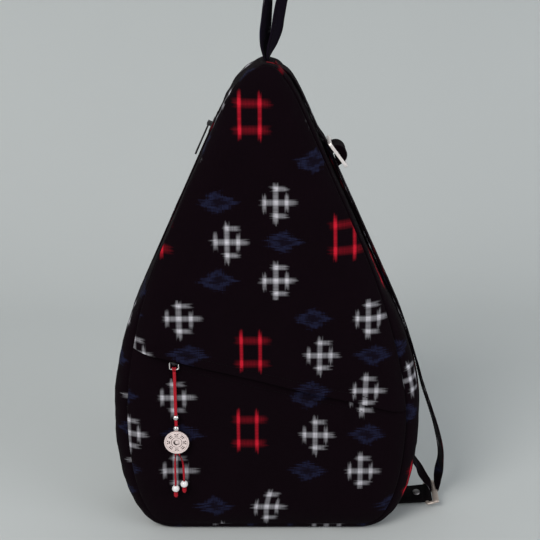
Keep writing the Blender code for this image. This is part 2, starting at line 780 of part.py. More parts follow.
def main_slider():
    """The main zip's slider at its closed end, with two ears, a pin and a hanging pull."""
    at = -(MAIN_SLOT_LENGTH / 2 - STOP_LENGTH - MAIN_STOP_MARGIN) + MAIN_SLIDER_LENGTH / 2 + GAP
    frame = left_flank()
    body = empty("main_slider_body", frame @ Matrix.Translation((at, 0.0, 0.0)))
    coil_top = -(CLOTH + GAP) + COIL_HEIGHT
    under = coil_top + GAP
    top = under + MAIN_SLIDER_PLATE
    section = channel(MAIN_SLIDER_HALF, under, top, coil_top - COIL_HEIGHT + FLANGE_LIFT, SLIDER_WALL)
    finish = metal("main_zip_slider", BLACK_METAL)
    half = MAIN_SLIDER_LENGTH / 2
    slider = prism("main_zip_slider", section, -half, half,
                   lambda v, w, u: Vector((u, v, w)), finish, body)
    pin_w = top + MAIN_PIN_RISE - MAIN_PULL_THICK / 2
    ear_in = MAIN_PULL_WIDTH / 2 + GAP
    ear_out = ear_in + EAR_THICK
    for name, low, high in (("ear_front", ear_in, ear_out), ("ear_back", -ear_out, -ear_in)):
        ear = box(name, (-EAR_HALF, low, top - PIN_SPARE), (EAR_HALF, high, pin_w + EAR_OVER_PIN),
                  finish, None, body)
        boolean(slider, ear, "UNION")
    pin = prism("main_pin", circle(PIN_RADIUS, 12), -ear_in - PIN_SPARE, ear_in + PIN_SPARE,
                lambda a, b, v: Vector((a, v, pin_w + b)), finish, body)
    boolean(slider, pin, "UNION")
    pull_body = empty("main_pull_body", body.matrix_world @ Matrix.Translation((0.0, 0.0, pin_w)))
    main_pull(pull_body, finish)


def main_pull(body, finish):
    """A flat metal pull with an eye round the pin and a rounded, pierced end."""
    half = MAIN_PULL_THICK / 2
    turn = math.asin(half / MAIN_EYE)
    section = arc((0.0, 0.0), MAIN_EYE, turn, 2 * math.pi - turn, 14)
    section += [(MAIN_PULL_LENGTH, -half), (MAIN_PULL_LENGTH, half)]
    pull = prism("main_zip_pull", section, -MAIN_PULL_WIDTH / 2, MAIN_PULL_WIDTH / 2,
                 lambda u, w, v: Vector((u, v, w)), finish, body)
    hole = prism("pull_eye", circle(PIN_RADIUS + GAP, 12), -0.01, 0.01,
                 lambda u, w, v: Vector((u, v, w)), finish, body)
    boolean(pull, hole, "DIFFERENCE")
    grip_at = MAIN_PULL_LENGTH - GRIP_BACK
    grip = prism("pull_grip", circle(GRIP_RADIUS, 20, (grip_at, 0.0)), -half, half,
                 lambda u, v, w: Vector((u, v, w)), finish, body)
    boolean(pull, grip, "UNION")
    opening = prism("pull_opening", circle(GRIP_OPENING, 16, (grip_at, 0.0)), -0.01, 0.01,
                    lambda u, v, w: Vector((u, v, w)), finish, body)
    boolean(pull, opening, "DIFFERENCE")


def ribbon(name, route, across, widths, thick, finish, parent=None):
    """A flat band along a route; across gives its width's direction at each point."""
    rings = []
    for i, at in enumerate(route):
        ahead = route[min(i + 1, len(route) - 1)] - route[max(i - 1, 0)]
        normal = ahead.normalized().cross(across[i]).normalized()
        side = across[i].normalized() * widths[i] / 2
        face = normal * thick / 2
        rings.append([at - side - face, at + side - face, at + side + face, at - side + face])
    return loft(name, rings, finish, parent)


def hanging_loop():
    """A flat band sewn at the apex, with both legs side by side, that twists as it rises."""
    base = HEIGHT + GAP
    route = smooth_route([Vector((x, 0.0, base + z)) for x, z in LOOP_ROUTE], 2)
    across = []
    for point in route:
        turn = LOOP_TWIST * smooth_step((point.z - base) / LOOP_FULL_TWIST_RISE)
        across.append(Vector((math.sin(turn), math.cos(turn), 0.0)))
    ribbon("hanging_loop", route, across, [LOOP_WIDTH] * len(route), LOOP_THICK,
           fabric("hanging_loop", (0.012, 0.010, 0.022)))


def on_flank(distance, offset):
    """A point off the strap's flank, a distance down from the flank's top."""
    at = right_flank() @ Vector((distance, 0.0, offset))
    return Vector((at.x, at.z))


def strap_offsets():
    inner = GAP + STRAP_THICK / 2
    return inner, inner + STRAP_THICK + GAP


def tab_axes():
    along = Vector((1.0, 0.0, 0.0))
    across = Vector((0.0, math.cos(TILT), math.sin(TILT)))
    return along, across, along.cross(across)


def ring_bar():
    """The middle of the ring's free bar, which the strap goes round."""
    along, across, out = tab_axes()
    reach = along * math.cos(RING_RISE) + out * math.sin(RING_RISE)
    return TAB_BAR + reach * RING_REACH


def wrap_radius():
    play = RING_REACH * math.sin(RING_PLAY)
    return RING_WIRE + play + GAP + STRAP_THICK / 2


def strap_route():
    """Front-view points of the strap: down the outside, round the ring's bar and up the inside."""
    inner, outer = strap_offsets()
    last = len(half_outline(0.0)) - 1
    flank_top = last - CREST_STEPS
    crest = [OUTLINE[i] + NORMALS[i] * inner for i in range(last, flank_top, -1)]
    crest = [p for p in crest if p.x > STRAP_START + 0.002]
    start = Vector((STRAP_START, HEIGHT + inner))
    down = [start] + crest
    down += [on_flank(STRAP_LIFT_FROM / 4, inner), on_flank(STRAP_LIFT_FROM, inner)]
    down += [on_flank(at, outer) for at in (STRAP_LIFT_TO,) + STRAP_STATIONS]
    flank_end = FLANK_LOW_Z + GAP
    side = [i for i in range(flank_top) if STRAP_LEAVES_Z < OUTLINE[i].y < flank_end]
    down += [OUTLINE[i] + NORMALS[i] * outer for i in reversed(side)]
    down += [Vector((HALF_WIDTH + x, z)) for x, z in STRAP_OUTER_ROUTE]
    bar = ring_bar() + tab_axes()[1] * WRAP_OFFSET
    turn = [Vector(p) for p in arc((bar.x, bar.z), wrap_radius(), 0.0, -math.pi, 10)]
    up = [Vector((HALF_WIDTH + x, z)) for x, z in STRAP_INNER_ROUTE]
    hug = [i for i in range(flank_top) if STRAP_RETURNS_Z < OUTLINE[i].y < flank_end]
    up += [OUTLINE[i] + NORMALS[i] * inner for i in hug]
    up += [on_flank(at, inner) for at in STRAP_STATIONS[::-1] + (STRAP_INNER_END,)]
    return down, turn, up


def strap_share(z):
    """1 where the strap is gathered at the ring, 0 where it lies full width on the shell."""
    return smooth_step((STRAP_GATHER_Z - z) / STRAP_GATHER_SPAN)


def strap():
    """The shoulder strap in one length, from the apex to its end under the slider."""
    down, turn, up = strap_route()
    along, tab_across, out = tab_axes()
    bar = ring_bar() + tab_across * WRAP_OFFSET
    route, across, widths = [], [], []
    for point in down + turn + up:
        share = strap_share(point.y)
        route.append(Vector((point.x, bar.y * share, point.y)))
        turned = TILT * share
        across.append(Vector((0.0, math.cos(turned), math.sin(turned))))
        widths.append(STRAP_WIDTH + (STRAP_NECK_WIDTH - STRAP_WIDTH) * share)
    ribbon("shoulder_strap", route, across, widths, STRAP_THICK, fabric("shoulder_strap"))


def buckle_place():
    """The slider's frame on the strap: down along it, across to the back, out."""
    clear = strap_offsets()[1] + STRAP_THICK / 2 + GAP + BUCKLE_THICK / 2
    lift = BUCKLE_LENGTH / 2 * math.sin(BUCKLE_TILT)
    at = Matrix.Translation((BUCKLE_FROM_TOP, 0.0, clear + lift))
    return right_flank() @ at @ Matrix.Rotation(-BUCKLE_TILT, 4, "Y")


def strap_buckle():
    """A tri-glide slider: a frame with two end bars and a middle bar."""
    body = empty("strap_buckle_body", buckle_place())
    half, wide, thick = BUCKLE_LENGTH / 2, BUCKLE_WIDTH / 2, BUCKLE_THICK / 2
    finish = metal("strap_buckle")
    corners = [Vector((-half, -wide, 0)), Vector((half, -wide, 0)), Vector((half, wide, 0)),
               Vector((-half, wide, 0))]
    profile = [(p.x, p.y) for p in rounded(corners, BUCKLE_CORNER, 4)]
    frame = prism("strap_slider", profile, -thick, thick,
                  lambda u, v, w: Vector((u, v, w)), finish, body)
    for name, low, high in (("upper_slot", -half + BUCKLE_BAR, -BUCKLE_BAR / 2),
                            ("lower_slot", BUCKLE_BAR / 2, half - BUCKLE_BAR)):
        slot = box(name, (low, -wide + BUCKLE_BAR, -0.01), (high, wide - BUCKLE_BAR, 0.01),
                   finish, None, body)
        boolean(frame, slot, "DIFFERENCE")
    strap_fold(body)


def strap_fold(body):
    """The strap's turn over the slider's middle bar, down to the strap through both slots."""
    surface = strap_offsets()[1] + STRAP_THICK / 2 + GAP
    place = buckle_place()
    flank = right_flank().inverted()

    def foot(u):
        centre = flank @ (place @ Vector((u, 0.0, 0.0)))
        return -(centre.z - surface - FOLD_EASE) / math.cos(BUCKLE_TILT)

    arch = [(FOLD_HALF_SPAN * math.cos(t), FOLD_RISE * math.sin(t))
            for t in [math.pi - math.pi * i / 14 for i in range(15)]]
    route = [(-FOLD_HALF_SPAN, foot(-FOLD_HALF_SPAN - STRAP_THICK / 2))]
    route += arch + [(FOLD_HALF_SPAN, foot(FOLD_HALF_SPAN - STRAP_THICK / 2))]
    points = [Vector((u, 0.0, w)) for u, w in route]
    ribbon("strap_fold", points, [Vector((0.0, 1.0, 0.0))] * len(points),
           [STRAP_WIDTH - 2 * FOLD_EASE] * len(points), STRAP_THICK, fabric("strap_fold"), body)


def lower_tab():
    """A doubled strip sewn into the gusset's low corner and folded round the ring's bar."""
    along, across, out = tab_axes()
    eye = RING_WIRE + GAP
    outer = eye + TAB_LAYER
    turn = math.asin(TAB_LAYER / outer)
    section = arc((0.0, 0.0), outer, math.pi - turn, -math.pi + turn, 18)
    section += [(-TAB_LENGTH, -TAB_LAYER), (-TAB_LENGTH, TAB_LAYER)]
    finish = fabric("lower_tab", (0.002, 0.0015, 0.0015))

    def place(a, n, w):
        return TAB_BAR + along * a + out * n + across * w

    tab = prism("lower_tab", section, -TAB_WIDTH / 2, TAB_WIDTH / 2, place, finish)
    hole = prism("tab_eye", circle(eye, ROUND_SIDES), -TAB_WIDTH, TAB_WIDTH, place, finish)
    boolean(tab, hole, "DIFFERENCE")
    boolean(tab, inner_space("tab_trim", -CLOTH - GAP), "DIFFERENCE")
    rivet_rings = [(RIVET_RADIUS, 0.0), (RIVET_RADIUS, 0.3 * RIVET_RISE),
                   (0.8 * RIVET_RADIUS, 0.8 * RIVET_RISE), (0.35 * RIVET_RADIUS, RIVET_RISE)]
    for name, side in (("rivet_cap", 1), ("rivet_back", -1)):
        rings = [[place(-RIVET_REACH + x, side * (TAB_LAYER + GAP + h), y)
                  for x, y in circle(r, ROUND_SIDES)] for r, h in rivet_rings]
        loft(name, rings, metal(name))


def lower_ring():
    """A rectangular wire ring that turns about the bar held by the tab."""
    along, across, out = tab_axes()
    reach = along * math.cos(RING_RISE) + out * math.sin(RING_RISE)
    body = empty("lower_ring_body", Matrix.Translation(TAB_BAR))
    corners = [-across * RING_HALF_LENGTH, across * RING_HALF_LENGTH,
               across * RING_HALF_LENGTH + reach * RING_REACH,
               -across * RING_HALF_LENGTH + reach * RING_REACH]
    wire("lower_ring", rounded(corners, RING_CORNER, 4), RING_WIRE, metal("lower_ring"), body, closed=True)


def build():
    clear_scene()
    front_panels()
    panel_shell("back_panel", BACK_CROWN, 1, fabric("back_panel"))
    gusset()
    pocket_lining()
    pocket_zip()
    slider_body = pocket_slider()
    pull_body = pocket_pull(slider_body)
    charm(pull_body)
    main_zip()
    main_slider()
    hanging_loop()
    strap()
    strap_buckle()
    lower_tab()
    lower_ring()


build()
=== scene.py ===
"""The looks of the sling backpack: sewn kasuri cloth, zips, a charm on red cords and metal fittings.

Metres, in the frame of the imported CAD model: +Z up, the bag's front faces -Y, the strap on +X.
"""

import math

import bmesh
import bpy
from mathutils import Matrix, Vector, noise


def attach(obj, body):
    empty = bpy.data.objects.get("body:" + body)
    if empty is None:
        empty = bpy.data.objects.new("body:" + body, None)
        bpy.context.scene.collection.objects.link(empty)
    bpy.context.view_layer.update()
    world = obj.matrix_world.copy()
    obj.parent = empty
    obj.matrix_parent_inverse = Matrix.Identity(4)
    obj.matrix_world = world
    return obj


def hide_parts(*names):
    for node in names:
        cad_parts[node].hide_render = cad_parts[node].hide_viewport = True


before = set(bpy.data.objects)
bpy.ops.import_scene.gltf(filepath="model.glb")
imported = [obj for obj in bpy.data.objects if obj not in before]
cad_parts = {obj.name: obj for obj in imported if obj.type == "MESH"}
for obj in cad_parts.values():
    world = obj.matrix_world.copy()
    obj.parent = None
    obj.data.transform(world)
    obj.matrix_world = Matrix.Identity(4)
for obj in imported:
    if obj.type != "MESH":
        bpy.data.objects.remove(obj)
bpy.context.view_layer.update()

# Camera
CAMERA_TARGET = Vector((0.0027, 0.0, 0.23335))
CAMERA_DISTANCE = 0.82
CAMERA_PITCH = math.radians(20)
CAMERA_LENS = 64.4

# Body, as in the CAD model
HEIGHT = 0.4095
HALF_WIDTH = 0.1323
WIDEST_Z = 0.11
BASE_HALF = 0.078
CORNER_REACH_X = 0.024
CORNER_REACH_Z = 0.105
FLANK_HALF_LOW = 0.1095
FLANK_LOW_Z = 0.213
FLANK_HALF_TOP = 0.034
FLANK_TOP_DROP = 0.0315
SIDE_REACH = 0.034
CREST_REACH_ALONG = 0.018
CREST_REACH_X = 0.0125
STRAP_SIDE_PULL = 0.0045
HALF_DEPTH = 0.038
HALF_DEPTH_TOP = 0.023
TAPER_START_Z = 0.235
FRONT_CROWN = 0.009
BACK_CROWN = 0.004
CROWN_RUN = 0.024
BULGE_TOP = 0.005
BULGE_SIDE = 0.0135
BULGE_BASE = 0.008
BULGE_HIGH_Z = 0.27
BULGE_LOW_Z = 0.13
FLAT_SIDE = 0.62
FLAT_BASE = 0.85
CLOTH = 0.0022
GAP = 0.0003
FRONT_Y = -(HALF_DEPTH + GAP + FRONT_CROWN + CLOTH)
FLANK_TOP_Z = HEIGHT - FLANK_TOP_DROP
FAN_CENTRE = Vector((0.0, TAPER_START_Z))

# Pocket zip, as in the CAD model
ZIP_SLOPE = math.radians(14.3)
ZIP_MID_Z = 0.1515
POCKET_STEP = 0.0042
FLAP_SLIT = 0.0005
PULL_WIRE = 0.0006
PULL_HALF = 0.0038
PULL_LENGTH = 0.0052
PULL_CORNER = 0.0012
PULL_HINGE = Vector((-0.076593, -0.0477, 0.168547))

# Charm, as in the CAD model
CHARM_TOP = Vector((-0.076593, -0.0477, 0.163347))
HITCH_RADIUS = 0.0014
HITCH_CORD = 0.00045
CORD_RADIUS = 0.0013
SILVER_BEAD_RADIUS = 0.0026
SILVER_BEAD_DROPS = (0.0445, 0.0545)
MEDALLION_RADIUS = 0.0105
MEDALLION_THICK = 0.002
MEDALLION_DROP = 0.068
TAIL_RADIUS = 0.001
TAIL_BEAD_RADIUS = 0.0032
TAIL_BEAD_DROPS = (0.113, 0.1085)
TAIL_SPREADS = (-0.0022, 0.0052)
KNOT_LENGTH = 0.005
CHARM_LEAN = 0.002

# Main zip, as in the CAD model
MAIN_SLOT_LENGTH = 0.158
MAIN_SLOT_HALF = 0.0065

# Hanging loop, as in the CAD model
LOOP_WIDTH = 0.014
LOOP_THICK = 0.0016
LOOP_TURNS = (0, 15, 30, 36, 33, 28, 21, 21, 25, 30, 34, 36, 37, 38, 39, 38, 29, 15, 0)
LOOP_ROUTE = (
    (-0.0011, 0.0), (-0.0015, 0.006), (-0.0014, 0.013), (-0.001, 0.022), (0.0, 0.032),
    (0.001, 0.043), (0.0016, 0.053), (0.0028, 0.062), (0.0058, 0.0685), (0.0095, 0.0695),
    (0.0128, 0.0655), (0.014, 0.058), (0.0132, 0.05), (0.0114, 0.043), (0.0096, 0.033),
    (0.0078, 0.0215), (0.0044, 0.011), (0.0022, 0.005), (0.0011, 0.0),
)

# Strap, slider, ring and tab, as in the CAD model
STRAP_WIDTH = 0.025
STRAP_THICK = 0.0015
STRAP_START = 0.0065
STRAP_LIFT_FROM = 0.026
STRAP_LIFT_TO = 0.038
STRAP_INNER_END = 0.04
STRAP_LEAVES_Z = 0.17
STRAP_RETURNS_Z = 0.062
STRAP_STATIONS = (0.06, 0.12)
STRAP_GATHER_Z = 0.075
STRAP_GATHER_SPAN = 0.055
STRAP_NECK_WIDTH = 0.009
STRAP_LEAN = math.radians(5)
STRAP_TURN = math.radians(36)
STRAP_OUTER_ROUTE = (
    (-0.0016, 0.151), (0.0027, 0.136), (0.0077, 0.12), (0.013, 0.105), (0.0186, 0.0886),
    (0.0232, 0.072), (0.0264, 0.056), (0.028, 0.042), (0.0276, 0.03), (0.0271, 0.02),
)
STRAP_INNER_ROUTE = (
    (0.0192, 0.0165), (0.016, 0.021), (0.0126, 0.0265), (0.0097, 0.0325), (0.0062, 0.0395),
    (0.002, 0.047), (-0.0016, 0.0545),
)
TILT = math.radians(18)
TAB_BAR = Vector((HALF_WIDTH + 0.0162, 0.008, 0.008))
TAB_WIDTH = 0.019
TAB_LAYER = 0.0015
TAB_FLARE = 0.26
RIVET_REACH = 0.009
RING_WIRE = 0.0012
RING_REACH = 0.008
RING_RISE = math.radians(20)
RING_HALF_LENGTH = 0.0118
RING_CORNER = 0.0018
RING_PLAY = math.radians(6)
WRAP_OFFSET = 0.0062
BUCKLE_FROM_TOP = 0.0496
BUCKLE_LENGTH = 0.0246
BUCKLE_THICK = 0.0024
BUCKLE_TILT = math.radians(12)
FOLD_HALF_SPAN = 0.0072
FOLD_RISE = 0.0066
FOLD_EASE = 0.0003

# Kasuri pattern: a half-drop lattice of red lattice motifs and clusters of white and blue ones
COLUMN = 0.075
HALF_PERIOD = 0.098
CLUSTER_ROW = 0.0325
CLUSTER_DROP = 0.003
RED_HALF = 0.0078
UPPER_ORIGIN = (-0.013, 0.1795)
UPPER_LEAN = 0.031
GUSSET_RIGHT = (0.019, 0.358)
GUSSET_LEFT = (0.001, 1.1925)
# painted shadow: over this span up the gusset's right flank the motifs are left out, so the cloth stays black
# where it lies in shade between the front panel and the strap
GUSSET_SHADOW_SPAN = (0.05, 0.172)
POCKET_ORIGIN = (-0.0165, 0.1035)
POCKET_STRETCH = (1.02, 1.09)
BUNDLE = 0.001

# Cloth thickness, seams and small shapes, in the visual model only
WELD = 1e-7
SEAM_ROLL = 0.0024
PUCKER = 0.0145
PANEL_STEPS = 46
PANEL_CLOTH = 0.0016
GUSSET_CLOTH = 0.0013
HEM = 0.0006
FLUSH_SWELL = 0.0014
FLUSH_RIGHT = 0.62
HEM_SPAN = (-0.079, 0.086)
COIL_PITCH = 0.0016
STRAP_SINKS = 0.0022
TAB_EASE = 0.0021


# Shapes of the body, finer than in the CAD model

def bezier(a, b, c, d, steps):
    points = []
    for i in range(1, steps + 1):
        t = i / steps
        s = 1 - t
        points.append(a * s ** 3 + b * 3 * s * s * t + c * 3 * s * t * t + d * t ** 3)
    return points


def smooth_step(t):
    t = min(1.0, max(0.0, t))
    return t * t * (3 - 2 * t)


def smooth_route(points, steps, closed=False):
    """A smooth curve through the route's own points."""
    count = len(points)
    route = []
    for i in range(count if closed else count - 1):
        if closed:
            p0, p1, p2, p3 = (points[(i + k) % count] for k in (-1, 0, 1, 2))
        else:
            p0, p1, p2 = points[max(0, i - 1)], points[i], points[i + 1]
            p3 = points[min(count - 1, i + 2)]
        for k in range(steps):
            t = k / steps
            route.append((2 * p1 + (p2 - p0) * t + (2 * p0 - 5 * p1 + 4 * p2 - p3) * t * t
                          + (3 * p1 - p0 - 3 * p2 + p3) * t ** 3) / 2)
    if not closed:
        route.append(points[-1])
    return route


def flank_points(pull):
    low = Vector((FLANK_HALF_LOW - pull, FLANK_LOW_Z))
    top = Vector((FLANK_HALF_TOP - pull, FLANK_TOP_Z))
    return low, top


def half_outline(pull, fine):
    """Half of the front view, from the middle of the base up to the apex."""
    low, top = flank_points(pull)
    up = (top - low).normalized()
    base = [Vector((BASE_HALF * i / (3 * fine), 0.0)) for i in range(3 * fine + 1)]
    widest = Vector((HALF_WIDTH, WIDEST_Z))
    corner = bezier(base[-1], base[-1] + Vector((CORNER_REACH_X, 0.0)),
                    widest - Vector((0.0, CORNER_REACH_Z)), widest, 7 * fine)
    side = bezier(widest, widest + Vector((0.0, SIDE_REACH)), low - up * SIDE_REACH, low, 4 * fine)
    flank = [low.lerp(top, i / (5 * fine)) for i in range(1, 5 * fine + 1)]
    apex = Vector((0.0, HEIGHT))
    crest = bezier(top, top + up * CREST_REACH_ALONG, apex + Vector((CREST_REACH_X, 0.0)), apex,
                   4 * fine)
    return base + corner + side + flank + crest


def outline(fine):
    right = half_outline(STRAP_SIDE_PULL, fine)
    left = half_outline(0.0, fine)
    points = right + [Vector((-p.x, p.y)) for p in reversed(left[1:-1])]
    normals = []
    for i, point in enumerate(points):
        along = points[(i + 1) % len(points)] - points[i - 1]
        normals.append(Vector((along.y, -along.x)).normalized())
    return points, normals


FINE = 6
OUTLINE, NORMALS = outline(FINE)
COARSE_OUTLINE, COARSE_NORMALS = outline(1)
ARC = [0.0]
for here, ahead in zip(OUTLINE, OUTLINE[1:] + OUTLINE[:1]):
    ARC.append(ARC[-1] + (ahead - here).length)


def half_depth(z):
    t = max(0.0, (z - TAPER_START_Z) / (HEIGHT - TAPER_START_Z))
    return HALF_DEPTH + (HALF_DEPTH_TOP - HALF_DEPTH) * t


def down_share(normal):
    return max(0.0, -normal.y) ** 2


def bulge(point, normal):
    """How far the side swells out beyond its seams; high up on the left the panel lies flush with it."""
    rise = smooth_step((BULGE_HIGH_Z - point.y) / (BULGE_HIGH_Z - BULGE_LOW_Z))
    flush = smooth_step((point.y - 0.185) / 0.09) * smooth_step((0.026 - point.x) / 0.016)
    side = BULGE_TOP + (BULGE_SIDE - BULGE_TOP) * rise
    side += (FLUSH_SWELL - side) * max(flush, FLUSH_RIGHT * smooth_step((point.y - 0.19) / 0.09))
    down = down_share(normal)
    return side * (1 - down) + BULGE_BASE * down


SEAM = [p - n * bulge(p, n) for p, n in zip(OUTLINE, NORMALS)]


def groove(point):
    """How far the front panel stays back from its seam, which leaves a dark groove beside the strap."""
    return 0.0008 * smooth_step((point.y - 0.2) / 0.05) * smooth_step((point.x - 0.004) / 0.012)


FRONT_SEAM = [p - n * (bulge(p, n) + groove(p)) for p, n in zip(OUTLINE, NORMALS)]


def waves(place, size, seed):
    """Smooth unevenness from -1 to 1 with lumps of about that size."""
    return noise.noise(place / size + Vector((seed, 0.37 * seed, -seed)))


# Meshes

def linked(name, data):
    item = bpy.data.objects.new(name, data)
    bpy.context.scene.collection.objects.link(item)
    return item


def mesh_object(name, build, finish):
    mesh = bpy.data.meshes.new(name)
    build.to_mesh(mesh)
    build.free()
    mesh.shade_smooth()
    mesh.materials.append(finish)
    return linked(name, mesh)


def welded(name, build, finish, fill=True):
    """Joins the mesh where its borders meet, closes its ends and turns its faces outward."""
    bmesh.ops.remove_doubles(build, verts=build.verts, dist=WELD)
    if fill:
        bmesh.ops.holes_fill(build, edges=[e for e in build.edges if e.is_boundary])
    bmesh.ops.recalc_face_normals(build, faces=build.faces)
    return mesh_object(name, build, finish)


def angles(count):
    return [2 * math.pi * i / count for i in range(count)]


def ahead_at(route, i):
    return (route[min(i + 1, len(route) - 1)] - route[max(i - 1, 0)]).normalized()


def run_lengths(route):
    """How far each point is along the route."""
    runs = [0.0]
    for a, b in zip(route, route[1:]):
        runs.append(runs[-1] + (b - a).length)
    return runs


def route_length(path):
    return run_lengths(path)[-1]


def sheet_mesh(rows, cloth, closed=False):
    """A bmesh of quads through rows of points; cloth gives each point's place on the flat cloth."""
    build = bmesh.new()
    layer = build.loops.layers.uv.new("cloth")
    made = [[build.verts.new(p) for p in row] for row in rows]
    spans = len(rows) if closed else len(rows) - 1
    for i in range(spans):
        j = (i + 1) % len(rows)
        for k in range(len(rows[0]) - 1):
            face = build.faces.new((made[i][k], made[i][k + 1], made[j][k + 1], made[j][k]))
            corners = ((i, k), (i, k + 1), (i + 1, k + 1), (i + 1, k))
            for loop, (a, b) in zip(face.loops, corners):
                loop[layer].uv = cloth[a][b]
    return build


def frozen(item):
    """Applies the object's modifiers."""
    depsgraph = bpy.context.evaluated_depsgraph_get()
    mesh = bpy.data.meshes.new_from_object(item.evaluated_get(depsgraph))
    item.modifiers.clear()
    item.data = mesh
    return item


def placed(item, body, slot, *nodes):
    """The piece rides on a CAD body and stands for its CAD nodes."""
    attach(item, body)
    if nodes:
        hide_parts(*nodes)
    return item


def sewn(item, *nodes):
    return placed(item, "shell", "kasuri_cloth", *nodes)


def tube_rows(route, profile, turn=0.0, along=None):
    """Rings of a profile (a, b) carried along a route without twisting, apart from turn radians a metre."""
    rows = []
    side = None
    run = 0.0
    for i, at in enumerate(route):
        ahead = ahead_at(route, i)
        if side is None:
            first = along or (Vector((0, 1, 0)) if abs(ahead.y) < 0.9 else Vector((1, 0, 0)))
            side = (first - ahead * first.dot(ahead)).normalized()
        else:
            run += (at - route[i - 1]).length
            side = (side - ahead * side.dot(ahead)).normalized()
        up = ahead.cross(side)
        c, s = math.cos(turn * run), math.sin(turn * run)
        rows.append([at + side * (a * c - b * s) + up * (a * s + b * c) for a, b in profile(i)])
    return rows


def tube(name, route, profile, finish, turn=0.0, closed=False, along=None):
    """A tube with its own profile; the cloth places run round it and along it."""
    rows = tube_rows(route, profile, turn, along)
    rows = [row + [row[0]] for row in rows]
    runs = run_lengths(route + route[:1])
    cloth = [[(place, runs[i]) for place in run_lengths(rows[i % len(rows)])]
             for i in range(len(rows) + (1 if closed else 0))]
    return welded(name, sheet_mesh(rows, cloth, closed), finish, not closed)


def round_profile(radius, sides=12, lobes=0, depth=0.0):
    radii = [radius * (1 - depth * (0.5 - 0.5 * math.cos(lobes * t))) for t in angles(sides)]
    points = [(r * math.cos(t), r * math.sin(t)) for r, t in zip(radii, angles(sides))]
    return lambda index: points


def oval_profile(across, out, sides):
    points = [(across * math.cos(t), out * math.sin(t)) for t in angles(sides)]
    return lambda index: points


def turned(name, profile, at, finish, sides=32):
    """A body turned from (radius, height) pairs about an upright axis through a point."""
    turns = angles(sides) + [2 * math.pi]
    rows = [[at + Vector((r * math.cos(t), r * math.sin(t), h)) for t in turns] for r, h in profile]
    cloth = [[(r * t, h) for t in turns] for r, h in profile]
    return welded(name, sheet_mesh(rows, cloth), finish)


def softened(name, node, width, finish, segments=3):
    """A copy of a hard CAD node with its edges rounded off."""
    build = bmesh.new()
    build.from_mesh(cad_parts[node].data)
    bmesh.ops.remove_doubles(build, verts=build.verts, dist=2e-6)
    bmesh.ops.dissolve_limit(build, angle_limit=math.radians(4), verts=build.verts, edges=build.edges)
    sharp = [e for e in build.edges if e.is_manifold and e.calc_face_angle(0) > math.radians(28)]
    bmesh.ops.bevel(build, geom=sharp, offset=width, segments=segments, affect="EDGES",
                    profile=0.5, clamp_overlap=True)
    bmesh.ops.recalc_face_normals(build, faces=build.faces)
    item = mesh_object(name, build, finish)
    item.data.set_sharp_from_angle(angle=math.radians(35))
    return item


def stitches(name, route, out, finish, pitch=0.003, share=0.68, radius=0.0003):
    """A row of sewn thread dashes along a route; out is each point's outward direction."""
    build = bmesh.new()
    layer = build.loops.layers.uv.new("cloth")
    runs = run_lengths(route)

    def at(run):
        i = 0
        while i < len(runs) - 2 and runs[i + 1] < run:
            i += 1
        t = (run - runs[i]) / max(1e-9, runs[i + 1] - runs[i])
        return route[i].lerp(route[i + 1], t), out[i].lerp(out[i + 1], t).normalized()

    count = max(1, int(runs[-1] / pitch))
    step = runs[-1] / count
    for n in range(count):
        rings = []
        for t, rise, thick in ((0.0, -0.6, 0.5), (0.2, 0.35, 1.0), (0.8, 0.35, 1.0), (1.0, -0.6, 0.5)):
            centre, up = at((n + (1 - share) / 2 + share * t) * step)
            ahead = (at(min(runs[-1], (n + 1) * step))[0] - at(n * step)[0]).normalized()
            side = ahead.cross(up).normalized()
            middle = centre + up * radius * rise
            rings.append([build.verts.new(middle + (side * math.cos(w) + up * math.sin(w)) * radius * thick)
                          for w in (0.0, math.pi / 3, 2 * math.pi / 3, math.pi, 1.5 * math.pi)])
        for a, b in zip(rings, rings[1:]):
            for k in range(5):
                face = build.faces.new((a[k], a[(k + 1) % 5], b[(k + 1) % 5], b[k]))
                for corner in face.loops:
                    corner[layer].uv = (corner.vert.co.x + corner.vert.co.y, corner.vert.co.z)
        build.faces.new(rings[0])
        build.faces.new(rings[-1])
    bmesh.ops.recalc_face_normals(build, faces=build.faces)
    return mesh_object(name, build, finish)


# Materials

def node_method(operation):
    return lambda self, *other: self.graph.math(operation, self, *other)


class Value:
    """A number in a material's node tree; sums with it make Math nodes."""

    __add__ = __radd__ = node_method("ADD")
    __sub__ = node_method("SUBTRACT")
    __mul__ = __rmul__ = node_method("MULTIPLY")
    __truediv__ = node_method("DIVIDE")
    __abs__ = node_method("ABSOLUTE")
    floor = node_method("FLOOR")
    round = node_method("ROUND")
    sine = node_method("SINE")
    above = node_method("GREATER_THAN")
    most = node_method("MAXIMUM")

    def __init__(self, graph, socket):
        self.graph = graph
        self.socket = socket

    def __rsub__(self, other):
        return self.graph.math("SUBTRACT", other, self)

    def clamp(self):
        made = self.graph.math("ADD", self, 0.0)
        made.socket.node.use_clamp = True
        return made


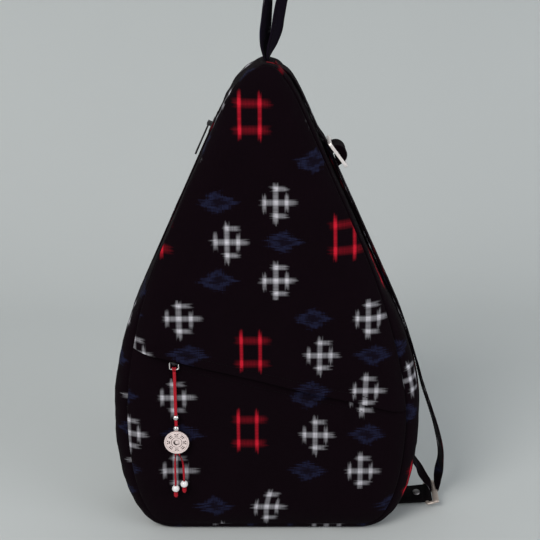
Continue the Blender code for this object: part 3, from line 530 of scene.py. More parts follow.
class Graph:
    """A material's node tree with short ways to add what the finishes need."""

    def __init__(self, name, roughness, metallic=0.0):
        self.material = bpy.data.materials.new(name)
        self.material.use_nodes = True
        self.nodes = self.material.node_tree.nodes
        self.links = self.material.node_tree.links
        self.shader = self.nodes["Principled BSDF"]
        self.fix("Roughness", roughness)
        self.fix("Metallic", metallic)

    def fix(self, name, value):
        self.shader.inputs[name].default_value = value

    def node(self, kind, **settings):
        node = self.nodes.new("ShaderNode" + kind)
        for name, value in settings.items():
            setattr(node, name, value)
        return node

    def join(self, value, socket):
        if isinstance(value, Value):
            self.links.new(value.socket, socket)
        elif hasattr(value, "is_output"):
            self.links.new(value, socket)
        else:
            socket.default_value = (*value, 1.0) if isinstance(value, tuple) else value

    def math(self, operation, *values):
        node = self.node("Math", operation=operation)
        for value, socket in zip(values, node.inputs):
            self.join(value, socket)
        return Value(self, node.outputs[0])

    def split(self, place):
        node = self.node("SeparateXYZ")
        self.links.new(place, node.inputs[0])
        return [Value(self, socket) for socket in node.outputs]

    def cloth(self):
        """The place on the flat cloth, in metres."""
        return self.split(self.node("UVMap", uv_map="cloth").outputs["UV"])[:2]

    def place(self):
        return self.node("TexCoord").outputs["Object"]

    def noise(self, scale, detail=3.0, vector=None):
        node = self.node("TexNoise")
        for name, value in (("Scale", scale), ("Detail", detail), ("Roughness", 0.55)):
            node.inputs[name].default_value = value
        self.links.new(vector if vector is not None else self.place(), node.inputs["Vector"])
        return Value(self, node.outputs["Fac"])

    def random(self, value, seed=0.0):
        """A random number from 0 to 1 for each whole value."""
        node = self.node("TexWhiteNoise", noise_dimensions="1D")
        self.links.new((value + seed).socket, node.inputs["W"])
        return Value(self, node.outputs["Value"])

    def vector(self, x, y, z=0.0):
        node = self.node("CombineXYZ")
        for value, socket in zip((x, y, z), node.inputs):
            self.join(value, socket)
        return node.outputs[0]

    def mix(self, share, a, b):
        node = self.node("Mix", data_type="RGBA")
        for value, index in ((share, 0), (a, 6), (b, 7)):
            self.join(value, node.inputs[index])
        return node.outputs[2]

    def color(self, value):
        self.join(value, self.shader.inputs["Base Color"])

    def roughness(self, value):
        self.join(value, self.shader.inputs["Roughness"])

    def bump(self, height, strength, distance):
        node = self.node("Bump")
        node.inputs["Strength"].default_value = strength
        node.inputs["Distance"].default_value = distance
        self.links.new(height.socket, node.inputs["Height"])
        self.links.new(node.outputs[0], self.shader.inputs["Normal"])


def shade(color, factor):
    return tuple(factor * x for x in color)


def band(value, half, soft):
    """1 within half of 0, falling to 0 over soft."""
    return ((half - abs(value)) / soft + 0.5).clamp()


def between(value, low, high, soft):
    return band(value - (low + high) / 2, (high - low) / 2, soft)


def weave(graph, u, v, pitch):
    """The height of a plain weave, 0 to 1, and which of its threads lies on top."""
    across = (u / pitch).floor()
    along = (v / pitch).floor()
    odd = abs(((across + along) / 2) - ((across + along) / 2).floor()).above(0.25)
    warp = abs((u * (math.pi / pitch)).sine())
    weft = abs((v * (math.pi / pitch)).sine())
    return warp * odd + weft * (1.0 - odd), odd


def parity(value):
    """0 for an even whole number and 1 for an odd one."""
    half = value / 2
    return (half - half.floor()).above(0.25)


def motif_cell(u, v, odd):
    """The place from the nearest motif's middle: every other column of a row has one, in turn."""
    row = (v / HALF_PERIOD).round()
    turn = abs(parity(row) - odd)
    column = ((u / COLUMN - turn) / 2).round() * 2 + turn
    return u - column * COLUMN, v - row * HALF_PERIOD


def kasuri(name, base, shift=(0.0, 0.0), white=1.0, red_share=1.0, plain=None):
    """Plain-woven dark cotton with resist-dyed red, white and blue motifs, whose threads are out of step."""
    graph = Graph(name, 0.85)
    raw_u, raw_v = graph.cloth()
    drift = graph.noise(9.0, 1.0, graph.vector(raw_u, raw_v)) - 0.5
    u = raw_u + shift[0] + drift * 0.004
    v = raw_v + shift[1]
    weft_step = graph.random((v / BUNDLE).floor(), 17.0) - 0.5
    warp_step = graph.random((u / BUNDLE).floor(), 5.0) - 0.5
    slip_u = weft_step * 0.0034
    slip_v = warp_step * 0.0034

    # the red motif: two uprights and two crossbars
    a, b = motif_cell(u, v, 0.0)
    uprights = (band(a - RED_HALF, 0.0013, 0.0012) + band(a + RED_HALF, 0.0013, 0.0012)) \
        * band(b + slip_v, 0.0172, 0.005)
    bars = (band(b - 0.0104, 0.0026, 0.0034) + band(b + 0.0104, 0.0026, 0.0034)) \
        * between(a + slip_u, -0.011, 0.0142, 0.006)
    red = (uprights * 0.56 + bars * 0.22 + uprights * bars * 0.54) * red_share

    # a cluster: white beside blue on its outer lines, and the other way round on its middle line
    a, b = motif_cell(u, v + CLUSTER_DROP, 1.0)
    outer = b - (b.above(0.0) * 2.0 - 1.0) * CLUSTER_ROW
    right = a.above(0.0025)
    c = b + right * (outer - b)
    white_a = a + 0.0185 - right * 0.0385
    tall = band(white_a, 0.0019, 0.0016) * between(c + slip_v, -0.0172, 0.015, 0.0034)
    short = band(abs(white_a) - 0.0089, 0.0014, 0.0014) * band(c + slip_v + 0.0004, 0.0064, 0.0036)
    wide = band(c, 0.0021, 0.002) * between(white_a + slip_u, -0.0112, 0.0152, 0.0045)
    stubs = band(abs(c - 0.0002) - 0.0111, 0.0018, 0.0018) \
        * between(white_a + slip_u, -0.0026, 0.0082, 0.004)
    upright = tall.most(short)
    crossbar = wide.most(stubs)
    pale = upright * 0.26 + crossbar * 0.28 + upright * crossbar * 0.26
    # the blue motif: a lens of weft threads with a dark heart
    right = a.above(0.0)
    d = outer + right * (b - outer)
    blue_a = a + 0.0255 - right * 0.051
    lens = abs(blue_a + weft_step * 0.007) / 0.0168 + abs(d + slip_v * 0.6) / 0.0108
    blue = band(lens - 0.66, 0.17, 0.34) * 0.6 + band(lens, 0.6, 0.5) * 0.12

    # painted shadow: over the span of v given by plain the motifs fade out, leaving the dark ground where the
    # cloth lies in shade
    if plain:
        unshadowed = 1.0 - between(v, plain[0], plain[1], 0.008)
        red, pale, blue = red * unshadowed, pale * unshadowed, blue * unshadowed
    grain = graph.noise(1.0, 2.0, graph.vector(u * 1400.0, v * 260.0))
    thread = graph.random((u / (BUNDLE * 0.5)).floor(), 31.0) * 0.5 \
        + graph.random((v / (BUNDLE * 0.5)).floor(), 47.0) * 0.5
    lively = 0.55 + thread * 0.75
    height, odd = weave(graph, raw_u, raw_v, 0.00075)
    faded = graph.noise(38.0, 4.0) * 0.9 + 0.55
    tone = graph.mix((faded * 0.5).clamp(), shade(base, 0.55),
                     shade(base, 1.45))
    tone = graph.mix(((grain - 0.5) * 0.3 + (1.0 - height) * 0.12).clamp(), tone,
                     shade(base, 2.6))
    tone = graph.mix((blue * lively).clamp(), tone, (0.017, 0.021, 0.057))
    tone = graph.mix((red * lively).clamp(), tone, (0.6, 0.012, 0.03))
    tone = graph.mix((pale * lively * white).clamp(), tone, (0.74, 0.72, 0.78))
    graph.color(tone)
    graph.roughness(0.8 + (height * 0.12))
    graph.fix("Specular IOR Level", 0.035)
    graph.fix("Sheen Weight", 0.01)
    graph.fix("Sheen Roughness", 0.5)
    lumps = graph.noise(260.0, 3.0)
    graph.bump(height + lumps * 0.5 + odd * 0.05, 0.35, 0.00022)
    return graph.material


def thread_cloth(name, base, pitch, ribs=False, shine=0.2):
    """Plain webbing, tape or thread: ribs along its length, or a plain weave."""
    graph = Graph(name, 0.8)
    u, v = graph.cloth()
    if ribs:
        height = abs((u * (math.pi / pitch)).sine()) * 0.6 + abs((v * (math.pi / pitch / 0.8)).sine()) * 0.4
    else:
        height = weave(graph, u, v, pitch)[0]
    mottled = graph.noise(60.0, 4.0)
    # painted shade between the threads and painted highlight on their crowns, from the weave's height; the
    # mottling is the cloth's own unevenness
    tone = graph.mix(((1.0 - height) * 0.5 + (mottled - 0.5) * 0.6).clamp(),
                     shade(base, 1.5), shade(base, 0.45))
    graph.color(tone)
    graph.roughness(0.66 + mottled * 0.25)
    graph.fix("Specular IOR Level", shine)
    graph.fix("Sheen Weight", 0.03)
    graph.bump(height + mottled * 0.4, 0.5, pitch * 0.25)
    return graph.material


def silver(name, base, rough=0.2, share=1.0):
    """Plated metal with fine scratches, smudges and duller patches; share is how metallic it is."""
    graph = Graph(name, rough, share)
    smudge = graph.noise(180.0, 5.0)
    x, y, z = graph.split(graph.place())
    scratch = graph.noise(900.0, 2.0, graph.vector(x, y, z * 0.05))
    graph.color(graph.mix(((smudge - 0.45) * 1.5).clamp(), base, shade(base, 0.72)))
    graph.roughness((smudge * 0.22 + scratch * 0.1 + (rough - 0.1)).clamp())
    graph.bump(smudge * 0.5 + scratch * 0.6, 0.1, 0.0001)
    return graph.material


def lacquer():
    """Black lacquered metal, greyer where it is worn."""
    graph = Graph("black_lacquer", 0.35)
    worn = graph.noise(260.0, 5.0)
    graph.color(graph.mix(((worn - 0.55) * 2.0).clamp(), (0.006, 0.006, 0.007), (0.06, 0.058, 0.056)))
    graph.roughness(0.3 + worn * 0.25)
    graph.fix("Specular IOR Level", 0.4)
    graph.bump(worn, 0.08, 0.0001)
    return graph.material


def bead_glaze():
    graph = Graph("bead_glaze", 0.16)
    cloudy = graph.noise(320.0, 3.0)
    graph.color(graph.mix(cloudy, (0.93, 0.92, 0.91), (0.78, 0.76, 0.77)))
    graph.roughness(0.1 + cloudy * 0.14)
    graph.fix("Subsurface Weight", 0.15)
    graph.fix("Subsurface Radius", (0.001, 0.001, 0.001))
    graph.bump(cloudy, 0.06, 0.0002)
    return graph.material


def cord_silk(name, base):
    """Twisted cord: slanting strands that catch light on their crowns."""
    graph = Graph(name, 0.55)
    u, v = graph.cloth()
    strand = abs(((u + v * 0.9) * (math.pi / 0.00085)).sine())
    fuzz = graph.noise(1600.0, 2.0)
    graph.color(graph.mix((strand * 0.8 + fuzz * 0.2).clamp(), shade(base, 0.3), base))
    graph.roughness(0.55 + fuzz * 0.25)
    graph.fix("Specular IOR Level", 0.15)
    graph.fix("Sheen Weight", 0.02)
    graph.bump(strand + fuzz * 0.3, 0.7, 0.00025)
    return graph.material


def relief_metal():
    """The medallion's metal: rosy silver on the raised parts, dark in the hollows."""
    graph = Graph("medallion_relief", 0.3, 0.35)
    raised = Value(graph, graph.node("Attribute", attribute_name="relief").outputs["Fac"])
    smudge = graph.noise(420.0, 4.0)
    bright = (raised * 1.15 + (smudge - 0.5) * 0.5).clamp()
    graph.color(graph.mix(bright, (0.03, 0.018, 0.016), (0.95, 0.79, 0.76)))
    graph.roughness(0.62 - bright * 0.22 + smudge * 0.08)
    graph.bump(smudge, 0.12, 0.0001)
    return graph.material


DARK = (0.0036, 0.0012, 0.0026)
CLOTH_UPPER = kasuri("kasuri_upper", DARK, (-UPPER_ORIGIN[0], -UPPER_ORIGIN[1]))
CLOTH_POCKET = kasuri("kasuri_pocket", DARK, (-POCKET_ORIGIN[0] / POCKET_STRETCH[0],
                                             -POCKET_ORIGIN[1] / POCKET_STRETCH[1]))
# the gusset's cloth, with a painted shadow where its motifs are left out up the right flank
CLOTH_GUSSET = kasuri("kasuri_gusset", DARK, plain=GUSSET_SHADOW_SPAN)
CLOTH_BACK = kasuri("kasuri_back", DARK, (0.03, 0.055))
CLOTH_STRAP = kasuri("kasuri_strap", DARK, (0.012, 0.01), 0.6, 0.3)
CLOTH_FOLD = kasuri("kasuri_fold", DARK, (0.0, 0.022), 0.0, 0.0)
CLOTH_LOOP = kasuri("kasuri_loop", (0.0058, 0.0036, 0.008), (-0.027, 0.04), 0.5, 0.0)
THREAD_BLACK = thread_cloth("thread_black", (0.003, 0.0016, 0.0026), 0.0004, shine=0.03)
WEBBING_BLACK = thread_cloth("webbing_black", (0.0022, 0.0014, 0.0018), 0.001, True, 0.05)
TAPE_BLACK = thread_cloth("zip_tape_black", (0.012, 0.011, 0.014), 0.0006, True)
COIL_BLACK = thread_cloth("zip_coil_black", (0.02, 0.02, 0.024), 0.0012)
LINING_DARK = thread_cloth("lining_dark", (0.02, 0.014, 0.018), 0.0006)
SILVER = silver("silver_plate", (0.78, 0.76, 0.75))
SILVER_SOFT = silver("silver_soft", (0.72, 0.7, 0.69), 0.3)
SILVER_DULL = silver("silver_dull", (0.24, 0.23, 0.23), 0.42)
RING_METAL = silver("ring_metal", (0.5, 0.43, 0.38), 0.36, share=0.55)
SILVER_SATIN = silver("silver_satin", (0.95, 0.88, 0.85), 0.3, share=0.45)
BLACK_METAL = lacquer()
MEDALLION = relief_metal()
GLAZE = bead_glaze()
CORD_RED = cord_silk("cord_red", (0.62, 0.014, 0.03))


# The sewn shell

def gusset_places(normal):
    """Places across the gusset from the front seam to the back one, and how far out each is."""
    flat = FLAT_SIDE + (FLAT_BASE - FLAT_SIDE) * down_share(normal)
    curve = []
    for i in range(9):
        t = i / 8
        curve.append((1 - (1 - flat) * (1 - math.cos(t * math.pi / 2)), math.sin(t * math.pi / 2)))
    front = [(-place, out) for place, out in curve]
    inner = [(-flat + 2 * flat * i / 8, 1.0) for i in range(1, 8)]
    return front + inner + [(place, out) for place, out in reversed(curve)]


def gusset_cloth():
    """The band round the sides, cut in a right and a left half that meet at the apex and the base."""
    rows, cloth = [], []
    count = len(OUTLINE)
    apex = len(half_outline(0.0, FINE)) - 1
    for i in range(count + 1):
        k = i % count
        point, normal = OUTLINE[k], NORMALS[k]
        swell = bulge(point, normal)
        depth = half_depth(point.y)
        resting = smooth_step((0.012 - point.y) / 0.01)
        row, flat = [], []
        places = gusset_places(normal)
        run = 0.0
        for j, (place, out) in enumerate(places):
            edge = min(1.0, (1 - abs(place)) / 0.12)
            at = Vector((point.x, place * depth, point.y))
            puckers = math.sin(ARC[k] * 2 * math.pi / PUCKER + 1.7 * waves(at, 0.03, 3.1)) * 0.00045
            puckers *= math.exp(-(1 - abs(place)) * depth / 0.009) * edge
            soft = (0.0011 * waves(at, 0.045, 7.3) + 0.0005 * waves(at, 0.016, 1.9)) * edge
            shift = (soft + puckers) * (1 - resting) - 0.0001
            flat_at = point - normal * (swell * (1 - out)) + normal * shift
            spot = Vector((flat_at.x, place * depth, max(0.0, flat_at.y)))
            if row:
                run += (spot - row[-1]).length
            row.append(spot)
            flat.append((ARC[i], run))
        middle = run / 2
        flat = [b - middle for a, b in flat]
        inward = Vector((normal.x, 0.0, normal.y)) * -SEAM_ROLL
        row = [row[0] + inward] + row + [row[-1] + inward]
        flat = [flat[0] - SEAM_ROLL] + flat + [flat[-1] + SEAM_ROLL]
        low = smooth_step((0.215 - ARC[i]) / 0.03)
        high = smooth_step((ARC[i] - 0.5) / 0.05)
        right = [(a + GUSSET_RIGHT[0] + 0.006 * low, ARC[i] - GUSSET_RIGHT[1] + 0.008 * low + 0.007 * high)
                 for a in flat]
        left = [(a + GUSSET_LEFT[0], ARC[-1] - ARC[i] - GUSSET_LEFT[1]) for a in flat]
        if i <= apex:
            rows.append(row)
            cloth.append(right)
        if i >= apex:
            if i < count:
                rows.append(row)
            cloth.append(left)
    item = welded("gusset_cloth", sheet_mesh(rows, cloth, True), CLOTH_GUSSET, False)
    thickened(item, GUSSET_CLOTH)
    slot_box = linked("slot", bpy.data.meshes.new("slot"))
    build = bmesh.new()
    bmesh.ops.create_cube(build, size=1.0, matrix=left_flank() @ Matrix.Diagonal(
        (MAIN_SLOT_LENGTH, 2 * MAIN_SLOT_HALF, 0.02, 1.0)))
    build.to_mesh(slot_box.data)
    build.free()
    cut = item.modifiers.new("slot", "BOOLEAN")
    cut.operation = "DIFFERENCE"
    cut.solver = "EXACT"
    cut.object = slot_box
    frozen(item)
    bpy.data.objects.remove(slot_box)
    return sewn(item, "gusset")


def axes(origin, along, across, out):
    turn = Matrix((along, across, out)).transposed().to_4x4()
    turn.translation = Vector(origin)
    return turn


def left_flank():
    low, top = flank_points(0.0)
    along = Vector((-(low.x - top.x), 0.0, low.y - top.y)).normalized()
    out = Vector((0.0, -1.0, 0.0)).cross(-along)
    middle = (low + top) / 2
    return axes((-middle.x, 0.0, middle.y), along, (0.0, -1.0, 0.0), out)


def right_flank():
    low, top = flank_points(STRAP_SIDE_PULL)
    along = Vector((low.x - top.x, 0.0, low.y - top.y)).normalized()
    out = along.cross(Vector((0.0, 1.0, 0.0)))
    return axes((top.x, 0.0, top.y), along, (0.0, 1.0, 0.0), out)


def zip_frame():
    along = Vector((math.cos(ZIP_SLOPE), 0.0, -math.sin(ZIP_SLOPE)))
    across = Vector((math.sin(ZIP_SLOPE), 0.0, math.cos(ZIP_SLOPE)))
    return axes((0.0, FRONT_Y, ZIP_MID_Z), along, across, (0.0, -1.0, 0.0))


def crown_at(run, crown):
    return crown * math.sin(min(1.0, run / CROWN_RUN) * math.pi / 2) ** 0.8


def panel_mesh(crown, side, seed, softness, flat_of, uneven):
    """A crowned panel from its rolled-in seam to its middle."""
    rings, cloth = [], []
    count = len(OUTLINE)
    for s in range(-1, PANEL_STEPS):
        ring = []
        for k in range(count):
            seam = FRONT_SEAM[k] if side < 0 else SEAM[k]
            reach = (FAN_CENTRE - seam).length
            t = max(0, s) / PANEL_STEPS
            run = reach * t * (0.35 + 0.65 * t)
            at = seam + (FAN_CENTRE - seam) * (run / reach)
            depth = half_depth(at.y) + GAP + crown_at(run, crown)
            fade = min(1.0, run / 0.006)
            place = Vector((at.x, seed, at.y))
            shift = softness * (0.0012 * waves(place, 0.05, seed) + 0.0005 * waves(place, 0.019, seed + 4))
            shift += math.sin(ARC[k] * 2 * math.pi / 0.015 + 2.0 * waves(place, 0.03, seed + 2)) \
                * 0.0005 * math.exp(-run / 0.008)
            shift += uneven(at)
            depth += CLOTH - 0.0002 + shift * fade
            if s < 0:
                depth = half_depth(at.y) + GAP - SEAM_ROLL
            ring.append(Vector((at.x, side * depth, at.y)))
        rings.append(ring)
        cloth.append([flat_of(p) for p in ring])
    build = bmesh.new()
    layer = build.loops.layers.uv.new("cloth")
    made = [[build.verts.new(p) for p in ring] for ring in rings]
    centre_at = sum(rings[-1], Vector()) / count
    centre = build.verts.new(centre_at)
    for a, b, ca, cb in zip(made, made[1:], cloth, cloth[1:]):
        for k in range(count):
            j = (k + 1) % count
            face = build.faces.new((a[k], a[j], b[j], b[k]))
            for corner, place in zip(face.loops, (ca[k], ca[j], cb[j], cb[k])):
                corner[layer].uv = place
    for k in range(count):
        j = (k + 1) % count
        face = build.faces.new((made[-1][k], made[-1][j], centre))
        for corner, place in zip(face.loops, (cloth[-1][k], cloth[-1][j], flat_of(centre_at))):
            corner[layer].uv = place
    bmesh.ops.recalc_face_normals(build, faces=build.faces)
    if sum(f.normal.y * f.calc_area() for f in build.faces) * side < 0:
        bmesh.ops.reverse_faces(build, faces=build.faces)
    return build


def cut_panel(build, keep_above, offset):
    """Keeps the panel's part above or below the zip line."""
    place = zip_frame()
    across = place.to_3x3() @ Vector((0.0, 1.0, 0.0))
    origin = place.translation + across * offset
    bmesh.ops.bisect_plane(build, geom=build.verts[:] + build.edges[:] + build.faces[:], dist=1e-6,
                           plane_co=origin, plane_no=across, clear_inner=keep_above,
                           clear_outer=not keep_above)


def thickened(item, thick):
    shell = item.modifiers.new("thickness", "SOLIDIFY")
    shell.thickness = thick
    shell.offset = -1.0
    shell.use_even_offset = False
    return frozen(item)


def hemmed(name, build, finish):
    item = thickened(mesh_object(name, build, finish), PANEL_CLOTH)
    round_off = item.modifiers.new("hem", "BEVEL")
    round_off.width = HEM
    round_off.segments = 3
    round_off.limit_method = "ANGLE"
    round_off.angle_limit = math.radians(55)
    return frozen(item)


def flap_folds(at):
    """The upper panel lifts a little over the zip and is drawn towards both of its ends."""
    rise = (at.y - (ZIP_MID_Z - math.tan(ZIP_SLOPE) * at.x)) * math.cos(ZIP_SLOPE)
    lift = 0.0004 * math.exp(-(rise / 0.006) ** 2)
    drag = 0.0007 * math.sin((rise - 0.25 * at.x) * 2 * math.pi / 0.034) * math.exp(-rise / 0.045)
    drag *= smooth_step((abs(at.x) - 0.018) / 0.05)
    return lift + drag * smooth_step(rise / 0.012)


def pocket_folds(at):
    """The pocket's cloth slackens in long soft folds that run down from its mouth."""
    fall = ((ZIP_MID_Z - math.tan(ZIP_SLOPE) * at.x) - at.y) * math.cos(ZIP_SLOPE)
    fold = math.sin((at.x + 0.22 * at.y) * 2 * math.pi / 0.061 + 0.6)
    return 0.0006 * fold * smooth_step(fall / 0.02) * math.exp(-fall / 0.09)


def upper_cloth_place(at):
    """The upper panel's cloth, whose part above the taper's start leans back."""
    left = 0.004 * smooth_step((-0.035 - at.x) / 0.045)
    return at.x + left, at.z + UPPER_LEAN * max(0.0, at.z - TAPER_START_Z)


def pocket_cloth_place(at):
    """The pocket's cloth, stretched a little and drawn aside near its left edge and its base."""
    left = 0.006 * smooth_step((-0.035 - at.x) / 0.04)
    low = 0.005 * smooth_step((0.055 - at.z) / 0.03) * smooth_step((0.06 - abs(at.x)) / 0.03)
    sunk = 0.013 * smooth_step((0.026 - at.z) / 0.018) * smooth_step((abs(at.x + 0.016) - 0.047) / 0.01)
    return (at.x + left + low) / POCKET_STRETCH[0], (at.z + sunk) / POCKET_STRETCH[1]


def shell_cloth():
    upper = panel_mesh(FRONT_CROWN, -1, 2.3, 0.9, upper_cloth_place, flap_folds)
    cut_panel(upper, True, 0.0)
    sewn(hemmed("upper_cloth", upper, CLOTH_UPPER), "front_upper_panel")
    pocket = panel_mesh(FRONT_CROWN - POCKET_STEP, -1, 5.9, 0.8, pocket_cloth_place, pocket_folds)
    cut_panel(pocket, False, -FLAP_SLIT)
    sewn(hemmed("pocket_cloth", pocket, CLOTH_POCKET), "pocket_front_panel")
    back = panel_mesh(BACK_CROWN, 1, 9.4, 1.0, lambda p: (-p.x, p.z), lambda at: 0.0)
    sewn(hemmed("back_cloth", back, CLOTH_BACK), "back_panel")
    gusset_cloth()


# Ribbons

def ribbon_profile(width, thick):
    """A flat band's section with rounded folded edges and slightly raised borders."""
    points = []
    w, h = width / 2, thick / 2
    for a, b in ((-1, 0.0), (-0.985, 0.7), (-0.93, 1.0), (-0.84, 0.96), (-0.72, 0.8), (-0.3, 0.88),
                 (0.3, 0.88), (0.72, 0.8), (0.84, 0.96), (0.93, 1.0), (0.985, 0.7), (1, 0.0)):
        points.append((w * a, h * b))
    return points + [(a, -b) for a, b in reversed(points[1:-1])]


def ribbon(name, route, across, widths, thick, finish, uneven=0.0, seed=0.0):
    """A flat band along a route; across is each point's direction over the band's width."""
    rows, cloth = [], []
    for i, (at, run) in enumerate(zip(route, run_lengths(route))):
        side = across[i].normalized()
        out = ahead_at(route, i).cross(across[i]).normalized()
        section = ribbon_profile(widths[i], thick)
        row, flat = [], []
        for a, b in section + section[:1]:
            wobble = uneven * waves(at + side * a, 0.012, seed)
            row.append(at + side * a + out * (b + wobble))
            flat.append((a if b >= 0 else a + 0.031, run))
        rows.append(row)
        cloth.append(flat)
    return welded(name, sheet_mesh(rows, cloth), finish)


def edge_stitches(name, route, across, widths, thick, inset=0.0022, faces=(1, -1)):
    for face in faces:
        for side in (-1, 1):
            line, outs = [], []
            for i, at in enumerate(route):
                out = ahead_at(route, i).cross(across[i]).normalized() * face
                reach = across[i].normalized() * side * (widths[i] / 2 - inset)
                line.append(at + reach + out * (thick * 0.43))
                outs.append(out)
            label = "%s_%s_%s" % (name, "out" if face > 0 else "in", "a" if side > 0 else "b")
            sewn(stitches(label, line, outs, THREAD_BLACK))


def on_flank(distance, offset):
    at = right_flank() @ Vector((distance, 0.0, offset))
    return Vector((at.x, at.z))


def strap_offsets():
    inner = GAP + STRAP_THICK / 2
    return inner, inner + STRAP_THICK + GAP


def tab_axes():
    along = Vector((1.0, 0.0, 0.0))
    across = Vector((0.0, math.cos(TILT), math.sin(TILT)))
    return along, across, along.cross(across)


def ring_bar():
    along, across, out = tab_axes()
    return TAB_BAR + (along * math.cos(RING_RISE) + out * math.sin(RING_RISE)) * RING_REACH


def arc(centre, radius, start, end, steps):
    angles = [start + (end - start) * i / steps for i in range(steps + 1)]
    return [Vector((centre[0] + radius * math.cos(t), centre[1] + radius * math.sin(t))) for t in angles]


def strap_points():
    inner, outer = strap_offsets()
    last = len(half_outline(0.0, 1)) - 1
    flank_top = last - 4
    crest = [COARSE_OUTLINE[i] + COARSE_NORMALS[i] * inner for i in range(last, flank_top, -1)]
    crest = [p for p in crest if p.x > STRAP_START + 0.002]
    down = [Vector((STRAP_START, HEIGHT + inner))] + crest
    down += [on_flank(STRAP_LIFT_FROM / 4, inner), on_flank(STRAP_LIFT_FROM, inner)]
    down += [on_flank(at, outer) for at in (STRAP_LIFT_TO,) + STRAP_STATIONS]
    flank_end = FLANK_LOW_Z + GAP
    side = [i for i in range(flank_top) if STRAP_LEAVES_Z < COARSE_OUTLINE[i].y < flank_end]
    down += [COARSE_OUTLINE[i] + COARSE_NORMALS[i] * outer for i in reversed(side)]
    down += [Vector((HALF_WIDTH + x, z)) for x, z in STRAP_OUTER_ROUTE]
    bar = ring_bar() + tab_axes()[1] * WRAP_OFFSET
    radius = RING_WIRE + RING_REACH * math.sin(RING_PLAY) + GAP + STRAP_THICK / 2
    turn = arc((bar.x, bar.z), radius, 0.0, -math.pi, 10)
    up = [Vector((HALF_WIDTH + x, z)) for x, z in STRAP_INNER_ROUTE]
    hug = [i for i in range(flank_top) if STRAP_RETURNS_Z < COARSE_OUTLINE[i].y < flank_end]
    up += [COARSE_OUTLINE[i] + COARSE_NORMALS[i] * inner for i in hug]
    up += [on_flank(at, inner) for at in STRAP_STATIONS[::-1] + (STRAP_INNER_END,)]
    return down + turn + up


def strap_route():
    tab_across = tab_axes()[1]
    bar = ring_bar() + tab_across * WRAP_OFFSET
    route, across, widths = [], [], []
    for point in smooth_route(strap_points(), 6):
        share = smooth_step((STRAP_GATHER_Z - point.y) / STRAP_GATHER_SPAN)
        free = smooth_step((point.x - HALF_WIDTH + 0.001) / 0.012)
        returning = point.x < bar.x - 0.002 and point.y < STRAP_GATHER_Z
        low = STRAP_TURN * math.exp(-((point.y - 0.025) / 0.012) ** 2)
        turn = low * free if returning else -(STRAP_LEAN + low) * free
        sunk = 0.0
        if point.y > HEIGHT - 0.03:
            sunk = STRAP_SINKS * smooth_step((STRAP_START + 0.014 - point.x) / 0.014)
        route.append(Vector((point.x, bar.y * share, point.y - sunk)))
        level = math.cos(TILT * share)
        across.append(Vector((math.sin(turn) * level, math.cos(turn) * level, math.sin(TILT * share))))
        widths.append(STRAP_WIDTH + (STRAP_NECK_WIDTH - STRAP_WIDTH) * share)
    return route, across, widths


def strap():
    route, across, widths = strap_route()
    sewn(ribbon("strap_cloth", route, across, widths, STRAP_THICK, CLOTH_STRAP, 0.00012, 3.0),
         "shoulder_strap")
    keep = [i for i, p in enumerate(route) if p.z > 0.03]
    split = next(n for n, (a, b) in enumerate(zip(keep, keep[1:])) if b - a > 1) + 1
    for label, part, face in (("strap_down", keep[:split], -1), ("strap_up", keep[split:], 1)):
        edge_stitches(label, *[[values[i] for i in part] for values in (route, across, widths)],
                      STRAP_THICK, faces=(face,))


def loop():
    base = HEIGHT + GAP
    shaped = [Vector((x, turn, base + z)) for (x, z), turn in zip(LOOP_ROUTE, LOOP_TURNS)]
    route, across = [], []
    for point in smooth_route(shaped, 6):
        turn = math.radians(point.y)
        route.append(Vector((point.x, 0.0, point.z)))
        across.append(Vector((math.sin(turn), math.cos(turn), 0.0)))
    widths = [LOOP_WIDTH] * len(route)
    sewn(ribbon("loop_cloth", route, across, widths, LOOP_THICK, CLOTH_LOOP, 0.00018, 8.0), "hanging_loop")
    edge_stitches("loop_edge", route, across, widths, LOOP_THICK, 0.0018)


def buckle_place():
    clear = strap_offsets()[1] + STRAP_THICK / 2 + GAP + BUCKLE_THICK / 2
    lift = BUCKLE_LENGTH / 2 * math.sin(BUCKLE_TILT)
    at = Matrix.Translation((BUCKLE_FROM_TOP, 0.0, clear + lift))
    return right_flank() @ at @ Matrix.Rotation(-BUCKLE_TILT, 4, "Y")


def buckle():
    placed(softened("buckle_frame", "strap_slider", 0.0008, SILVER_SATIN, 4), "buckle", "silver_metal",
           "strap_slider")
    place = buckle_place()
    flank = right_flank().inverted()
    surface = strap_offsets()[1] + STRAP_THICK / 2 + GAP

    def foot(u):
        centre = flank @ (place @ Vector((u, 0.0, 0.0)))
        return -(centre.z - surface - FOLD_EASE) / math.cos(BUCKLE_TILT)

    for label, inset in (("fold_cloth", 0.0), ("fold_layer", 0.0017), ("fold_heart", 0.0034)):
        span, rise = FOLD_HALF_SPAN - inset, FOLD_RISE - inset
        arch = [Vector((span * math.cos(t), 0.0, rise * math.sin(t)))
                for t in [math.pi - math.pi * i / 14 for i in range(15)]]
        points = [Vector((-span, 0.0, foot(-span - STRAP_THICK / 2)))] + arch
        points.append(Vector((span, 0.0, foot(span - STRAP_THICK / 2))))
        route = [place @ p for p in smooth_route(points, 3)]
        across = [Vector((0.0, 1.0, 0.0))] * len(route)
        widths = [STRAP_WIDTH - 2 * FOLD_EASE - inset * 0.4] * len(route)
        nodes = ["strap_fold"] if label == "fold_cloth" else []
        placed(ribbon(label, route, across, widths, STRAP_THICK, CLOTH_FOLD, 0.0001, 5.0), "buckle",
               "kasuri_cloth", *nodes)


